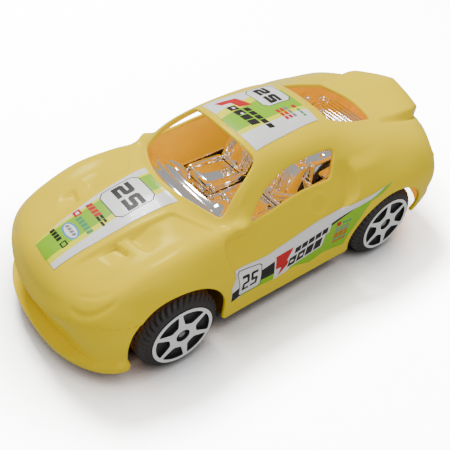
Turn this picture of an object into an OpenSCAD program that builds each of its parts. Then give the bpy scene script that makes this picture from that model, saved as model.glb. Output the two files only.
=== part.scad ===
// Pull back car: a moulded shell over a chassis that carries a spring motor.
// +X points to the nose, +Y to the car's left side, +Z up. The origin is on the
// ground, midway between the axles, which is also midway along the car.

/* [Wheels and axles] */
// Distance between the two axles
wheelbase = 82; // [80:1:84]
// Radius of the tyre's tread, which is also the height of the axles
tyre_r = 13.2; // [13:0.1:13.4]
// Distance from the car's middle plane to the face of a wheel
wheel_face_y = 32; // [31.5:0.25:32.5]
// Width of a tyre
tyre_w = 8; // [7:0.5:8.5]
// Radius of the wheel disc that shows inside the tyre
disc_r = 10; // [9.8:0.1:10.2]
// Number of spokes
spokes = 6; // [5:1:7]
// Diameter of the steel axles
axle_d = 2; // [1.8:0.1:2.2]

/* [Body] */
// Wall of the moulded shell
wall = 1.6; // [1.2:0.1:1.8]
// Gap between a wheel arch and the tyre, front
front_arch_gap = 2.5; // [2:0.1:2.8]
// Gap between a wheel arch and the tyre, rear
rear_arch_gap = 2; // [1.6:0.1:2.4]
// Height of the shell's lower edge behind the rear wheels
tail_edge_z = 9.4; // [8.4:0.1:10]
// Thickness of the printed stickers
sticker_t = 0.2; // [0.15:0.05:0.3]

/* [Chassis] */
// Thickness of the chassis plate
plate_t = 1.6; // [1.4:0.1:1.8]
// Diameter of the shank of the body screws
screw_d = 2.3; // [2:0.1:2.5]
// Diameter of the head of the body screws
screw_head_d = 4.6; // [4.4:0.1:5]

/* [Spring motor] */
// Gear module
gear_m = 0.5; // [0.5:0.01:0.51]
// Teeth of the pinion on the rear axle, and of the idler's small wheel
pinion_teeth = 12; // [12:1:13]
// Teeth of the idler's large wheel
idler_teeth = 28; // [27:1:28]
// Teeth of the spring drum's wheel
drum_teeth = 32; // [31:1:32]
// Turns of the mainspring
spring_turns = 7; // [5:1:8]
// Radial running clearance of every shaft
running = 0.05; // [0.03:0.01:0.08]

/* [Hidden] */

axle_z = tyre_r;
front_x = wheelbase / 2;
rear_x = -wheelbase / 2;
axle_r = axle_d / 2;
eps = 0.01;

// ---------------------------------------------------------------- body surface
// Nine rails run along each side, from the sill (0) over the shoulder (4) and the
// cantrail (6) to the centre line (8). A station gives its x, how far it bows
// forward on the centre line, and the [y, z] of each rail there.
STATIONS = [
    [-56, 0, [[29, 6.4], [31, 12.5], [32.4, 19.5], [32, 28], [27, 35.4], [21, 38.6],
        [14, 39.8], [7.5, 40.3], [0, 40.6]]],
    [-44, 0, [[29.9, 6.4], [31.5, 13], [33, 20.5], [32.6, 29.5], [27, 37], [20.8, 41.2],
        [14.2, 42.5], [8, 43], [0, 43.3]]],
    [-32, 0, [[29.8, 6.4], [30.8, 13], [32, 21], [31.6, 29.5], [25.6, 38.6], [21, 43],
        [15.2, 45.6], [8.5, 46.9], [0, 47.3]]],
    [-20, 0, [[29.6, 6.4], [30.3, 13], [31, 21], [30.3, 28.8], [24.4, 38], [20.9, 43.2],
        [16, 48.2], [8.8, 50.7], [0, 51.3]]],
    [-8, 0, [[29.6, 6.4], [30.2, 13], [30.6, 21], [29.6, 28.4], [24.2, 37.6], [20.7, 43.2],
        [16.2, 48.8], [9, 51.3], [0, 51.9]]],
    [5, 1.5, [[29.6, 6.4], [30.1, 13], [30.5, 21], [29.3, 28], [24.3, 37.2], [20.6, 43],
        [15.4, 48.6], [8.5, 50.6], [0, 51.2]]],
    [14, 4.5, [[29.6, 6.4], [30.1, 13], [30.4, 21], [29.3, 28], [24.4, 36.6], [21.6, 40.2],
        [18.4, 43.4], [10.5, 45.2], [0, 46.2]]],
    [21, 6.5, [[29.7, 6.4], [30.2, 13], [30.6, 21], [29.6, 28], [24.6, 35.8], [22.1, 36.4],
        [19.8, 36.8], [11, 39.2], [0, 40.2]]],
    [29, 3, [[29.9, 6.4], [30.5, 13], [31, 21], [30.2, 28.3], [24.9, 36.4], [19.5, 37.4],
        [13.5, 38.2], [8, 39.3], [0, 39.7]]],
    [41, 0, [[30, 6.4], [30.8, 13], [31.4, 21], [30.8, 28.8], [25, 35.9], [19, 36.2],
        [13, 36.9], [7.6, 38], [0, 38.4]]],
    [54, 0, [[29.6, 6.4], [30.3, 12.5], [30.4, 19], [28.9, 26], [24.4, 32.4], [18.8, 33.4],
        [13, 33.9], [7.2, 34.6], [0, 34.9]]]];
// The rails wrap round each end to the centre plane. [x, virtual y, z] of each end.
TAIL = [[-69.2, 28.5, 6.4], [-70.4, 30.5, 12], [-71.2, 31.5, 19], [-71, 31, 26], [-70.2, 26.5, 31.5],
    [-70, 21, 35.5], [-69.6, 14, 38.6], [-68.8, 8, 40.6], [-67.6, 0, 41.8]];
NOSE = [[71, 29.3, 6.4], [71.2, 29.8, 10], [70.6, 29.5, 15.5], [69.6, 27.5, 21.5],
    [68.6, 23.5, 25.5], [67.4, 18.5, 28], [66, 13, 29.8], [64.4, 7.5, 31.2], [62.4, 0, 32.3]];
CENTRE = 8;
// Roundness of the plan view at the nose and at the tail
nose_power = 2.3;
tail_power = 2.6;
// The stations' bow fades out at this distance from the centre line
bow_y = 20;

// Every knot of rail k, from tail to nose
function knots(k) = concat([TAIL[k]],
    [for (st = STATIONS) let (p = st[2][k])
        [st[0] + st[1] * max(0, 1 - pow(p[0] / bow_y, 2)), p[0], p[1]]],
    [NOSE[k]]);
KNOTS = [for (k = [0:CENTRE]) knots(k)];
LAST = len(KNOTS[0]) - 1;

// Slope of a rail's y and z along x at knot i
function slope(q, i) = let (a = q[max(i - 1, 0)], b = q[min(i + 1, len(q) - 1)])
    [b[1] - a[1], b[2] - a[2]] / (b[0] - a[0]);
function hermite(p, m, q, n, h, t) =
    (2 * t * t * t - 3 * t * t + 1) * p + (t * t * t - 2 * t * t + t) * h * m
    + (3 * t * t - 2 * t * t * t) * q + (t * t * t - t * t) * h * n;
function cap(t, power) = pow(max(0, 1 - pow(t, power)), 1 / power);

// Rail k at station number s, where 0 is the tail's end and LAST the nose's
function rail(k, s) = let (
        q = KNOTS[k], i = min(floor(s), LAST - 1), t = s - i, a = q[i], b = q[i + 1],
        w = i == 0 ? 1 - cos(90 * t) : i == LAST - 1 ? sin(90 * t) : t,
        yz = hermite([a[1], a[2]], slope(q, i), [b[1], b[2]], slope(q, i + 1), b[0] - a[0], w),
        shrink = i == 0 ? cap(1 - w, tail_power) : i == LAST - 1 ? cap(w, nose_power) : 1)
    [a[0] + (b[0] - a[0]) * w, yz[0] * shrink, yz[1]];

function mirrored(p) = [p[0], -p[1], p[2]];
function both_halves(half) = concat(half, [for (i = [len(half) - 1:-1:0]) [half[i][0], -half[i][1]]]);
function section(s) = [for (k = [0:CENTRE]) rail(k, s)];
// A point on a section's left half, where v runs from 0 at the sill to CENTRE
function along(sec, v) = let (
        i = min(floor(v), CENTRE - 1), t = v - i, b = sec[i], c = sec[i + 1],
        a = i == 0 ? 2 * b - c : sec[i - 1],
        d = i == CENTRE - 1 ? mirrored(b) : sec[i + 2])
    0.5 * (2 * b + t * (c - a) + t * t * (2 * a - 5 * b + 4 * c - d)
        + t * t * t * (3 * b - a - 3 * c + d));
function skin(s, v) = v <= CENTRE ? along(section(s), v)
    : mirrored(along(section(s), 2 * CENTRE - v));
function unit(a) = a / max(norm(a), eps * eps);
// Outward normal of the surface, from points a short way along s and v
function outward(s, v) = let (
        h = 0.04, p = skin(max(s - h, 0), v), q = skin(min(s + h, LAST), v),
        a = skin(s, max(v - h, 0)), b = skin(s, min(v + h, 2 * CENTRE)))
    unit(cross(b - a, q - p));
function lifted(s, v, d) = skin(s, v) + d * outward(s, v);

function spread(from, to, n) = [for (i = [0:n]) from + (to - from) * i / n];
// Station numbers of the rings, with the given steps on each end and between two stations
function rings(end_steps, steps) = concat([for (i = [0:end_steps - 1]) i / end_steps],
    spread(1, LAST - 1, steps * (LAST - 2)),
    [for (i = [1:end_steps]) LAST - 1 + i / end_steps]);
// Rail numbers of the points across a ring
function across(steps) = spread(0, 2 * CENTRE, 2 * CENTRE * steps);

// The closed volume inside the surface, drawn in by d, with its flat bottom lowered by drop
module body_volume(d, drop, end_steps, station_steps, rail_steps) {
    at_s = rings(end_steps, station_steps);
    at_v = across(rail_steps);
    n = len(at_v);
    points = [for (s = at_s) for (j = [0:n - 1]) let (
            p = d == 0 ? skin(s, at_v[j]) : lifted(s, at_v[j], -d))
        [p[0], s == 0 || s == LAST ? 0 : p[1], p[2] - (j == 0 || j == n - 1 ? drop : 0)]];
    // On the first and last ring, both halves share the left half's points
    function at(i, j) = i * n
        + ((i == 0 || i == len(at_s) - 1) && j > (n - 1) / 2 ? n - 1 - j : j);
    function tidy(f) = f[0] == f[1] || f[1] == f[2] || f[2] == f[0] ? [] : [f];
    faces = [for (i = [0:len(at_s) - 2]) for (j = [0:n - 1]) let (
            k = (j + 1) % n, a = at(i, j), b = at(i, k), c = at(i + 1, k), e = at(i + 1, j))
        each concat(tidy([a, c, b]), tidy([a, e, c]))];
    polyhedron(points, faces, convexity = 6);
}
module outer_volume(d) { body_volume(d, 0, 6, 3, 3); }
module inner_volume() { body_volume(wall, 3, 5, 2, 2); }

// ---------------------------------------------------------------- body shell
// Half outlines [x, y] of the two windows seen from above, and [x, z] of a side window
WINDSCREEN = [[27.2, 0], [26.4, 6], [24.2, 12.5], [20.4, 19.4], [14.3, 18], [9.5, 16.6], [6, 14.6],
    [6.6, 7], [6.9, 0]];
REAR_WINDOW = [[-26.2, 0], [-26.2, 10.8], [-34, 12.6], [-45.4, 11.8], [-47.6, 6], [-48.2, 0]];
SIDE_WINDOW = [[13.2, 36.8], [8.2, 41.4], [3, 43.8], [-5, 45.6], [-17.6, 45.3], [-20.6, 44.6],
    [-18.2, 37.8], [-4, 38.3], [5, 37.3]];
window_round = 0.8;
// Heights above which the windscreen and the rear window cut through the shell
windscreen_from = 35.5;
rear_window_from = 37;
front_arch_r = tyre_r + front_arch_gap;
rear_arch_r = tyre_r + rear_arch_gap;

boss_front = [57.5, 15];
boss_rear = [-61, 14];
boss_r = 2.8;
boss_gap = 0.1;
BOSSES = [for (b = [boss_front, boss_rear], side = [-1, 1]) [b[0], side * b[1]]];

module rounded(outline) {
    offset(r = window_round, $fn = 24) offset(delta = -window_round) polygon(outline);
}
module window_cuts() {
    translate([0, 0, windscreen_from]) linear_extrude(30) rounded(both_halves(WINDSCREEN));
    translate([0, 0, rear_window_from]) linear_extrude(30) rounded(both_halves(REAR_WINDOW));
    rotate([90, 0, 0]) linear_extrude(80, center = true) rounded(SIDE_WINDOW);
}
// The opening round a wheel, seen from the side. Its sides drop straight down below the axle,
// except in front of a rear wheel. Behind the rear wheels the shell ends higher, in a rounded leg.
leg_round = 1.5;
// Longer than the car, for cuts that reach past its ends
beyond = 100;
module arch_outline(x, r, straight_from, straight_to) {
    translate([x, axle_z]) circle(r = r, $fn = 64);
    translate([x + straight_from, 0]) square([straight_to - straight_from, axle_z]);
}
module tail_outline() {
    translate([-beyond, 0]) square([beyond + rear_x - rear_arch_r / 2, tail_edge_z]);
}
module side_cut() {
    arch_from_y = 20;
    arch_deep = 20;
    for (side = [-1, 1]) translate([0, side > 0 ? arch_from_y + arch_deep : -arch_from_y, 0])
        rotate([90, 0, 0]) linear_extrude(arch_deep) {
            arch_outline(front_x, front_arch_r, -front_arch_r, front_arch_r);
            offset(r = -leg_round, $fn = 24) offset(delta = leg_round) {
                arch_outline(rear_x, rear_arch_r, -rear_arch_r, 0);
                tail_outline();
            }
        }
}
module tail_cut() {
    rotate([90, 0, 0]) linear_extrude(beyond, center = true) tail_outline();
}
module body_shell() {
    pilot_top = 17;
    color("gold") resize([0, 0, 0]) difference() {
        outer_volume(0);
        difference() {
            inner_volume();
            for (b = BOSSES) translate([b[0], b[1], plate_top + boss_gap])
                cylinder(r = boss_r, h = 40, $fn = 32);
        }
        window_cuts();
        side_cut();
        tail_cut();
        for (b = BOSSES) translate([b[0], b[1], plate_top - 1])
            cylinder(d = screw_d, h = pilot_top - plate_top, $fn = 24);
    }
}

// ---------------------------------------------------------------- chassis
plate_bottom = 6;
plate_top = plate_bottom + plate_t;
plate_gap = 0.5;
well_inner_y = 21;
well_deep = 20;
well_r = tyre_r + 2.4;
// Behind the rear wheels the plate is narrower, and it ends ahead of the shell
plate_tail_x = -65.5;
plate_tail_y = 20;
bearing_y = 16;
bearing_l = 4;
motor_gap = 0.3;

// The chassis outline follows the sill rail, inside the shell
sill_inset = wall + plate_gap;
SILL = [for (s = spread(0, LAST, 6 * LAST)) let (p = rail(0, s))
    [p[0] * (1 - sill_inset / NOSE[0][0]), max(0, p[1] - sill_inset)]];
PLATE = [for (p = SILL) if (p[1] > 0) p];
module chassis_outline() {
    difference() {
        polygon(concat([[SILL[0][0], 0]], PLATE, [[SILL[len(SILL) - 1][0], 0]],
            [for (i = [len(PLATE) - 1:-1:0]) [PLATE[i][0], -PLATE[i][1]]]));
        for (x = [front_x, rear_x], side = [-1, 1])
            translate([x - well_r, side > 0 ? well_inner_y : -well_inner_y - well_deep])
                square([2 * well_r, well_deep]);
        for (side = [-1, 1]) translate([-beyond, side > 0 ? plate_tail_y : -plate_tail_y - well_deep])
            square([beyond + rear_x, well_deep]);
        translate([-beyond, -beyond / 2]) square([beyond + plate_tail_x, beyond]);
        translate([case_x0 - motor_gap, -case_y - motor_gap])
            square([case_x1 - case_x0 + 2 * motor_gap, 2 * (case_y + motor_gap)]);
    }
}
module countersunk(h) {
    head_h = (screw_head_d - screw_d) / 2;
    cylinder(d1 = screw_head_d, d2 = screw_d, h = head_h, $fn = 48);
    cylinder(d = screw_d, h = h, $fn = 48);
}
module chassis() {
    rib = 1.2;
    rib_h = 2;
    cross_ribs = [front_x - 14, front_x + 11.5];
    color([0.13, 0.13, 0.14]) difference() {
        union() {
            translate([0, 0, plate_bottom]) linear_extrude(plate_t) chassis_outline();
            for (side = [-1, 1]) translate([front_x - 3, side * bearing_y - bearing_l / 2, plate_top - eps])
                cube([6, bearing_l, axle_z + 3 - plate_top]);
            for (x = cross_ribs) translate([x, -19, plate_top - eps]) cube([rib, 38, rib_h]);
            for (side = [-1, 1]) translate([-8, side * 13 - rib / 2, plate_top - eps]) cube([32, rib, rib_h]);
        }
        translate([front_x, 0, axle_z]) rotate([90, 0, 0])
            cylinder(r = axle_r + running, h = 60, center = true, $fn = 48);
        for (b = BOSSES) translate([b[0], b[1], plate_bottom]) countersunk(plate_t + 1);
        for (p = MOTOR_SCREWS) translate([p[0], p[1], plate_bottom - 1])
            cylinder(d = motor_screw_d, h = plate_t + 2, $fn = 32);
    }
}
module body_screws() {
    reach = 9;
    color("silver") for (b = BOSSES) translate([b[0], b[1], plate_bottom]) difference() {
        countersunk(reach);
        translate([0, 0, -eps]) for (a = [0, 90]) rotate([0, 0, a])
            translate([-1.3, -0.25, 0]) cube([2.6, 0.5, 0.6]);
    }
}

// ---------------------------------------------------------------- cabin
tray_t = 1.2;
floor_z = 19;
deck_z = 31;
tray_y = 21.5;
tray_front = 22.5;
step_x = -9;
tray_rear = -49;
seat_y = 9.5;
seat_w = 14;
column_pos = [16.5, seat_y, 29.5];
column_tilt = 58;
column_r = 0.8;
module rounded_block(size, r) {
    linear_extrude(size[2]) offset(r = r, $fn = 24) offset(delta = -r)
        translate([-size[0] / 2, -size[1] / 2]) square([size[0], size[1]]);
}
module seat() {
    rounded_block([13, seat_w, 5], 1.5);
    translate([-5, 0, 3]) rotate([0, -14, 0]) rounded_block([3.4, seat_w, 16], 1.2);
}
module steering_wheel() {
    rim_r = 4.2;
    rim_t = 0.55;
    translate(column_pos) rotate([0, -column_tilt, 0]) {
        translate([0, 0, 5]) rotate_extrude($fn = 48) translate([rim_r, 0]) circle(r = rim_t, $fn = 24);
        for (a = [90, 210, 330]) rotate([0, 0, a]) translate([0, -0.5, 4.7]) cube([rim_r, 1, 0.6]);
        translate([0, 0, -4]) cylinder(r = column_r, h = 9.4, $fn = 32);
    }
}
module interior_tray() {
    riser = deck_z - floor_z;
    deck_y = 18;
    dash = [5, 37, 14.5];
    leg_r = 2;
    color("silver") union() {
        // Floor, riser behind the seats, and deck over the motor
        translate([step_x, -tray_y, floor_z]) cube([tray_front - step_x, 2 * tray_y, tray_t]);
        translate([step_x - tray_t, -tray_y, floor_z]) cube([tray_t, 2 * tray_y, riser + tray_t]);
        translate([tray_rear, -deck_y, deck_z]) cube([step_x - tray_rear, 2 * deck_y, tray_t]);
        // Dash, centre tunnel, engine blocks and seats
        translate([tray_front - dash[0], -dash[1] / 2, floor_z]) cube(dash);
        translate([-6, -2, floor_z + tray_t - eps]) cube([20, 4, 4]);
        for (side = [-1, 1]) translate([-36, side * 6, deck_z + tray_t - eps]) rounded_block([14, 8, 3], 1);
        for (side = [-1, 1]) translate([0.5, side * seat_y, floor_z + tray_t - eps]) seat();
        steering_wheel();
        // Legs down to the chassis plate
        for (x = [15, -5], side = [-1, 1]) translate([x, side * 18, plate_top])
            cylinder(r = leg_r, h = floor_z - plate_top + eps, $fn = 32);
    }
}

// ---------------------------------------------------------------- wheels
barrel_r = 8.8;
flange_t = 1.8;
face_chamfer = 0.3;
pocket_depth = 1.1;
pocket_in = 4.6;
pocket_out = 8.9;
spoke_w = 1.5;
centre_r = 2.3;
centre_depth = 0.9;
// One recess between two spokes: a ring segment with its sides parallel to the spokes
module pocket_outline() {
    round_r = 0.7;
    half = 180 / spokes;
    offset(r = round_r, $fn = 24) offset(delta = -round_r) difference() {
        intersection() {
            circle(r = pocket_out, $fn = 96);
            rotate(-half) translate([0, spoke_w / 2]) square(20);
            rotate(half) translate([0, -spoke_w / 2 - 20]) square(20);
        }
        circle(r = pocket_in, $fn = 64);
    }
}
// A hub lies along +Z here, with its face at z = 0 and its back at negative z
module hub_shape() {
    back = -tyre_w + 0.5;
    web = -flange_t - 2;
    sleeve_r = 4;
    barrel_in = barrel_r - 1.4;
    difference() {
        rotate_extrude($fn = 96) polygon([[0, back], [sleeve_r, back], [sleeve_r, web], [barrel_in, web],
            [barrel_in, back], [barrel_r, back], [barrel_r, -flange_t], [disc_r, -flange_t],
            [disc_r, -face_chamfer], [disc_r - face_chamfer, 0], [0, 0]]);
        for (i = [0:spokes - 1]) rotate([0, 0, i * 360 / spokes]) translate([0, 0, -pocket_depth])
            linear_extrude(2) pocket_outline();
        translate([0, 0, -centre_depth]) cylinder(r = centre_r, h = 2, $fn = 48);
        cylinder(r = axle_r, h = 40, center = true, $fn = 48);
    }
}
module tyre_shape() {
    shoulder = 2.4;
    groove = 0.7;
    rotate_extrude($fn = 96) polygon([[barrel_r, -tyre_w], [barrel_r, -flange_t], [disc_r, -flange_t],
        [disc_r, -0.5], [disc_r + 0.5, -0.4], [tyre_r - 0.6, -shoulder + 0.5], [tyre_r, -shoulder],
        [tyre_r, -4], [tyre_r - groove, -4.2], [tyre_r - groove, -4.8], [tyre_r, -5],
        [tyre_r, -tyre_w + 0.8], [tyre_r - 1, -tyre_w]]);
}
// side is 1 on the car's left and -1 on its right
module at_wheel(x, side) {
    translate([x, side * wheel_face_y, axle_z]) rotate([side > 0 ? -90 : 90, 0, 0]) children();
}
module hub(x, side) { color([0.09, 0.09, 0.1]) at_wheel(x, side) hub_shape(); }
module tyre(x, side) { color([0.12, 0.11, 0.11]) at_wheel(x, side) tyre_shape(); }
module axle(x) {
    recess = 0.6;
    color("lightgrey") translate([x, 0, axle_z]) rotate([90, 0, 0])
        cylinder(r = axle_r, h = 2 * (wheel_face_y - recess), center = true, $fn = 48);
}
module hub_front_left() { hub(front_x, 1); }
module hub_front_right() { hub(front_x, -1); }
module hub_rear_left() { hub(rear_x, 1); }
module hub_rear_right() { hub(rear_x, -1); }
module tyre_front_left() { tyre(front_x, 1); }
module tyre_front_right() { tyre(front_x, -1); }
module tyre_rear_left() { tyre(rear_x, 1); }
module tyre_rear_right() { tyre(rear_x, -1); }
module front_axle() { axle(front_x); }
module rear_axle() { axle(rear_x); }

// ---------------------------------------------------------------- spring motor
gear_slack = 0.06;
pinion_r = pinion_teeth * gear_m / 2;
idler_r = idler_teeth * gear_m / 2;
drum_r = drum_teeth * gear_m / 2;
pitch_1 = pinion_r + idler_r + gear_slack;
pitch_2 = pinion_r + drum_r + gear_slack;
angle_1 = 35;
angle_2 = -5;
axle_pos = [rear_x, axle_z];
idler_pos = axle_pos + pitch_1 * [cos(angle_1), sin(angle_1)];
drum_pos = idler_pos + pitch_2 * [cos(angle_2), sin(angle_2)];
gear_face = 2.6;
shaft_r = 1;
end_gap = 0.3;
layer_1 = -8.4;
layer_2 = -4.8;
case_y = 11;
case_wall = 1.4;
cover_t = 1.4;
cup_in = 8.7;
cup_out = 9.6;
cup_from = -1.2;
case_x0 = rear_x - 6;
case_x1 = drum_pos[0] + cup_out + 0.5 + case_wall;
case_z0 = plate_bottom + 0.5;
case_z1 = 30;
motor_screw_d = 1.6;
ear_t = 1.4;
MOTOR_SCREWS = [for (x = [case_x0 + 7, case_x1 - 7], side = [-1, 1]) [x, side * (case_y + 2.6)]];

// Angle, in degrees, from a tooth's middle to its flank at radius r
pressure = 20;
function involute_deg(r, base) = let (a = acos(min(1, base / r))) tan(a) * 180 / PI - a;
function flank(teeth, r) = let (p = teeth * gear_m / 2, base = p * cos(pressure))
    90 / teeth - (gear_slack / p) * 90 / PI / 2
    + involute_deg(p, base) - involute_deg(max(r, base), base);
// A spur gear along +Z with a tooth centred on angle turn
module spur(teeth, h, turn) {
    p = teeth * gear_m / 2;
    tip = p + 0.9 * gear_m;
    root = p - 1.2 * gear_m;
    base = p * cos(pressure);
    start = max(root + 0.05, base);
    steps = 4;
    half = [for (i = [0:steps]) let (r = start + (tip - start) * i / steps) [r, flank(teeth, r)]];
    linear_extrude(h) polygon([for (i = [0:teeth - 1]) let (a = turn + i * 360 / teeth)
        each concat([root * [cos(a - half[0][1]), sin(a - half[0][1])]],
            [for (f = half) f[0] * [cos(a - f[1]), sin(a - f[1])]],
            [for (j = [steps:-1:0]) half[j][0] * [cos(a + half[j][1]), sin(a + half[j][1])]],
            [root * [cos(a + half[0][1]), sin(a + half[0][1])]])]);
}
// Places a shape drawn in x and z along the gear axes, with its base at y = from.
// The drawing's y becomes the car's z, and its z the car's y.
module along_y(pos, from) {
    translate([pos[0], from, pos[1]]) mirror([0, 1, 0]) rotate([90, 0, 0]) children();
}
// A shaft that stops just inside both outer faces of the motor
module gear_shaft(pos) {
    along_y(pos, -case_y + end_gap) cylinder(r = shaft_r, h = 2 * (case_y - end_gap), $fn = 48);
}
// Each gear's turn puts a tooth of one wheel opposite a gap of the next
module axle_pinion() {
    color("white") along_y(axle_pos, layer_1) difference() {
        union() {
            spur(pinion_teeth, gear_face, angle_1);
            translate([0, 0, gear_face - eps]) cylinder(r = 2, h = 2.4, $fn = 48);
        }
        cylinder(r = axle_r, h = 40, center = true, $fn = 48);
    }
}
module idler_gear() {
    small_turn = angle_2;
    large_turn = angle_1 + 180 + 180 / idler_teeth;
    color("ivory") union() {
        along_y(idler_pos, layer_1) spur(idler_teeth, gear_face, large_turn);
        along_y(idler_pos, layer_1 + gear_face - eps)
            cylinder(r = 2, h = layer_2 - layer_1 - gear_face + 2 * eps, $fn = 48);
        along_y(idler_pos, layer_2) spur(pinion_teeth, gear_face, small_turn);
        gear_shaft(idler_pos);
    }
}
module drum_gear() {
    arbor_r = 2;
    color("ivory") union() {
        along_y(drum_pos, layer_2) spur(drum_teeth, gear_face, angle_2 + 180 + 180 / drum_teeth);
        along_y(drum_pos, layer_2)
            cylinder(r = arbor_r, h = case_y - cover_t - end_gap - layer_2, $fn = 48);
        gear_shaft(drum_pos);
    }
}
// The steel strip lies in an even spiral between the arbor and the cup
module mainspring() {
    strip = 0.25;
    inner = 2.4;
    outer = cup_in - 0.3;
    steps = spring_turns * 24;
    function r(i) = inner + (outer - inner) * i / steps;
    side_gap = 0.6;
    width = case_y - cover_t - cup_from - 2 * side_gap;
    function spiral(i, d) = (r(i) + d) * [cos(i * 15), sin(i * 15)];
    color("slategrey") along_y(drum_pos, cup_from + side_gap) linear_extrude(width)
        polygon(concat([for (i = [0:steps]) spiral(i, 0)], [for (i = [steps:-1:0]) spiral(i, strip)]));
}
module shaft_holes() {
    along_y(axle_pos, -20) cylinder(r = axle_r + running, h = 40, $fn = 48);
    along_y(idler_pos, -20) cylinder(r = shaft_r + running, h = 40, $fn = 48);
    along_y(drum_pos, -20) cylinder(r = shaft_r + running, h = 40, $fn = 48);
}
// The two screw ears on one side of the motor, drilled for their screws
module ears(side) {
    ear = [7, 5.4, ear_t];
    difference() {
        for (p = MOTOR_SCREWS) if (p[1] * side > 0)
            translate([p[0] - ear[0] / 2, side > 0 ? case_y - 0.2 : -case_y - ear[1] + 0.2, plate_top])
                cube(ear);
        for (p = MOTOR_SCREWS) translate([p[0], p[1], plate_top - 1])
            cylinder(d = motor_screw_d, h = 4, $fn = 32);
    }
}
module motor_case() {
    color([0.2, 0.2, 0.22]) {
        difference() {
            translate([case_x0, -case_y, case_z0])
                cube([case_x1 - case_x0, 2 * case_y - cover_t, case_z1 - case_z0]);
            translate([case_x0 + case_wall, -case_y + case_wall, case_z0 + case_wall])
                cube([case_x1 - case_x0 - 2 * case_wall, 2 * case_y, case_z1 - case_z0 - 2 * case_wall]);
            shaft_holes();
        }
        ears(-1);
    }
}
module motor_cover() {
    color([0.2, 0.2, 0.22]) {
        difference() {
            union() {
                translate([case_x0, case_y - cover_t, case_z0])
                    cube([case_x1 - case_x0, cover_t, case_z1 - case_z0]);
                along_y(drum_pos, cup_from)
                    cylinder(r = cup_out, h = case_y - cover_t - cup_from + eps, $fn = 96);
            }
            along_y(drum_pos, cup_from - 1)
                cylinder(r = cup_in, h = case_y - cover_t - cup_from + 1, $fn = 96);
            shaft_holes();
        }
        ears(1);
    }
}
module motor_screws() {
    head_r = 1.5;
    head_h = 1;
    slot = [4, 0.5, 0.4];
    from_z = plate_bottom + 0.2;
    head_z = plate_top + ear_t - from_z;
    color("silver") for (p = MOTOR_SCREWS) translate([p[0], p[1], from_z]) difference() {
        union() {
            cylinder(d = motor_screw_d, h = head_z + eps, $fn = 32);
            translate([0, 0, head_z]) cylinder(r = head_r, h = head_h, $fn = 32);
        }
        translate([-slot[0] / 2, -slot[1] / 2, head_z + head_h - slot[2]]) cube([slot[0], slot[1], 1]);
    }
}

// ---------------------------------------------------------------- stickers
sticker_gap = 0.05;
HOOD_STICKER = [[28.4, 0], [27.6, 8.7], [46, 7.4], [64.6, 5.6], [65, 0]];
ROOF_STICKER = [[5, 0], [4.2, 13], [-21.2, 11.1], [-21.4, 0]];
SIDE_STICKER = [[23.2, 14.2], [23.5, 20.4], [22.6, 23.4], [20.9, 25.1], [12.8, 25.8], [1.8, 27.4], [-9.8, 29.2],
    [-21, 29.9], [-31.3, 31.3], [-38.6, 32.3], [-32.5, 29.8], [-29.9, 29], [-27.4, 26], [-25.3, 21.5],
    [-23.4, 17.2], [-22.4, 12.8], [-13, 14.3], [-8, 12.7], [-1, 15.2], [6, 13.9], [12.5, 14.6], [18.2, 14.7]];
// The layer just outside the surface, inside whatever prism is given
module skin_layer() {
    resize([0, 0, 0]) difference() {
        intersection() {
            outer_volume(-sticker_gap - sticker_t);
            children();
        }
        outer_volume(-sticker_gap);
    }
}
module top_sticker(half, from_z) {
    color("ivory") skin_layer() translate([0, 0, from_z]) linear_extrude(40) polygon(both_halves(half));
}
module side_sticker() {
    color("ivory") skin_layer() translate([0, 45, 0]) rotate([90, 0, 0]) linear_extrude(30)
        polygon(SIDE_STICKER);
}
module hood_sticker() { top_sticker(HOOD_STICKER, 20); }
module roof_sticker() { top_sticker(ROOF_STICKER, 40); }
module side_sticker_left() { side_sticker(); }
module side_sticker_right() { mirror([0, 1, 0]) side_sticker(); }

body_shell();
chassis();
interior_tray();
front_axle();
rear_axle();
hub_front_left();
hub_front_right();
hub_rear_left();
hub_rear_right();
tyre_front_left();
tyre_front_right();
tyre_rear_left();
tyre_rear_right();
motor_case();
motor_cover();
axle_pinion();
idler_gear();
drum_gear();
mainspring();
body_screws();
motor_screws();
hood_sticker();
roof_sticker();
side_sticker_left();
side_sticker_right();
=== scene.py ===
"""Looks of the pull back car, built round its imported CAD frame.

Lengths are millimetres, except in the sections on the stage and the camera, where they are metres.
"""

import math

import bpy
import numpy as np
from mathutils import Matrix, Vector, geometry


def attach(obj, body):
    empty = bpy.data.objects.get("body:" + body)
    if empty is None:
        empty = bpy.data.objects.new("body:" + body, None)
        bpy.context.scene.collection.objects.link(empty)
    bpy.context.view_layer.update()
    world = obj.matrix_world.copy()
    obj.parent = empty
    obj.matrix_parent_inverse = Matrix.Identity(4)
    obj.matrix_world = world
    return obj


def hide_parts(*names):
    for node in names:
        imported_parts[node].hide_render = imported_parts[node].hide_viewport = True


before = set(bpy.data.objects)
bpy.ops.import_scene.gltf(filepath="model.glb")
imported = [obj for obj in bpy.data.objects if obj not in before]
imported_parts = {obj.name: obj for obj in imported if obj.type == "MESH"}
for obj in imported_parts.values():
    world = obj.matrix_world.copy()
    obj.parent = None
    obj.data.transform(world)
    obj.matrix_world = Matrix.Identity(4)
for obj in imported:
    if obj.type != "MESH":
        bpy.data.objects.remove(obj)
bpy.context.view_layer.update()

MM = 0.001
AXLE_Z = 13.2
WHEEL_X = {"front": 41.0, "rear": -41.0}
ARCH_R = {"front": 15.7, "rear": 15.2}
WHEEL_Y = 32.0
SIDES = {"left": 1, "right": -1}
WALL = 1.2
SILL_EDGE, TAIL_EDGE = 6.4, 9.4
FLIP_Y = np.array([1.0, -1.0, 1.0])


def ease(t, a, b):
    """0 below a, 1 above b, and smooth between them."""
    u = np.clip((t - a) / (b - a), 0, 1)
    return u * u * (3 - 2 * u)


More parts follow.
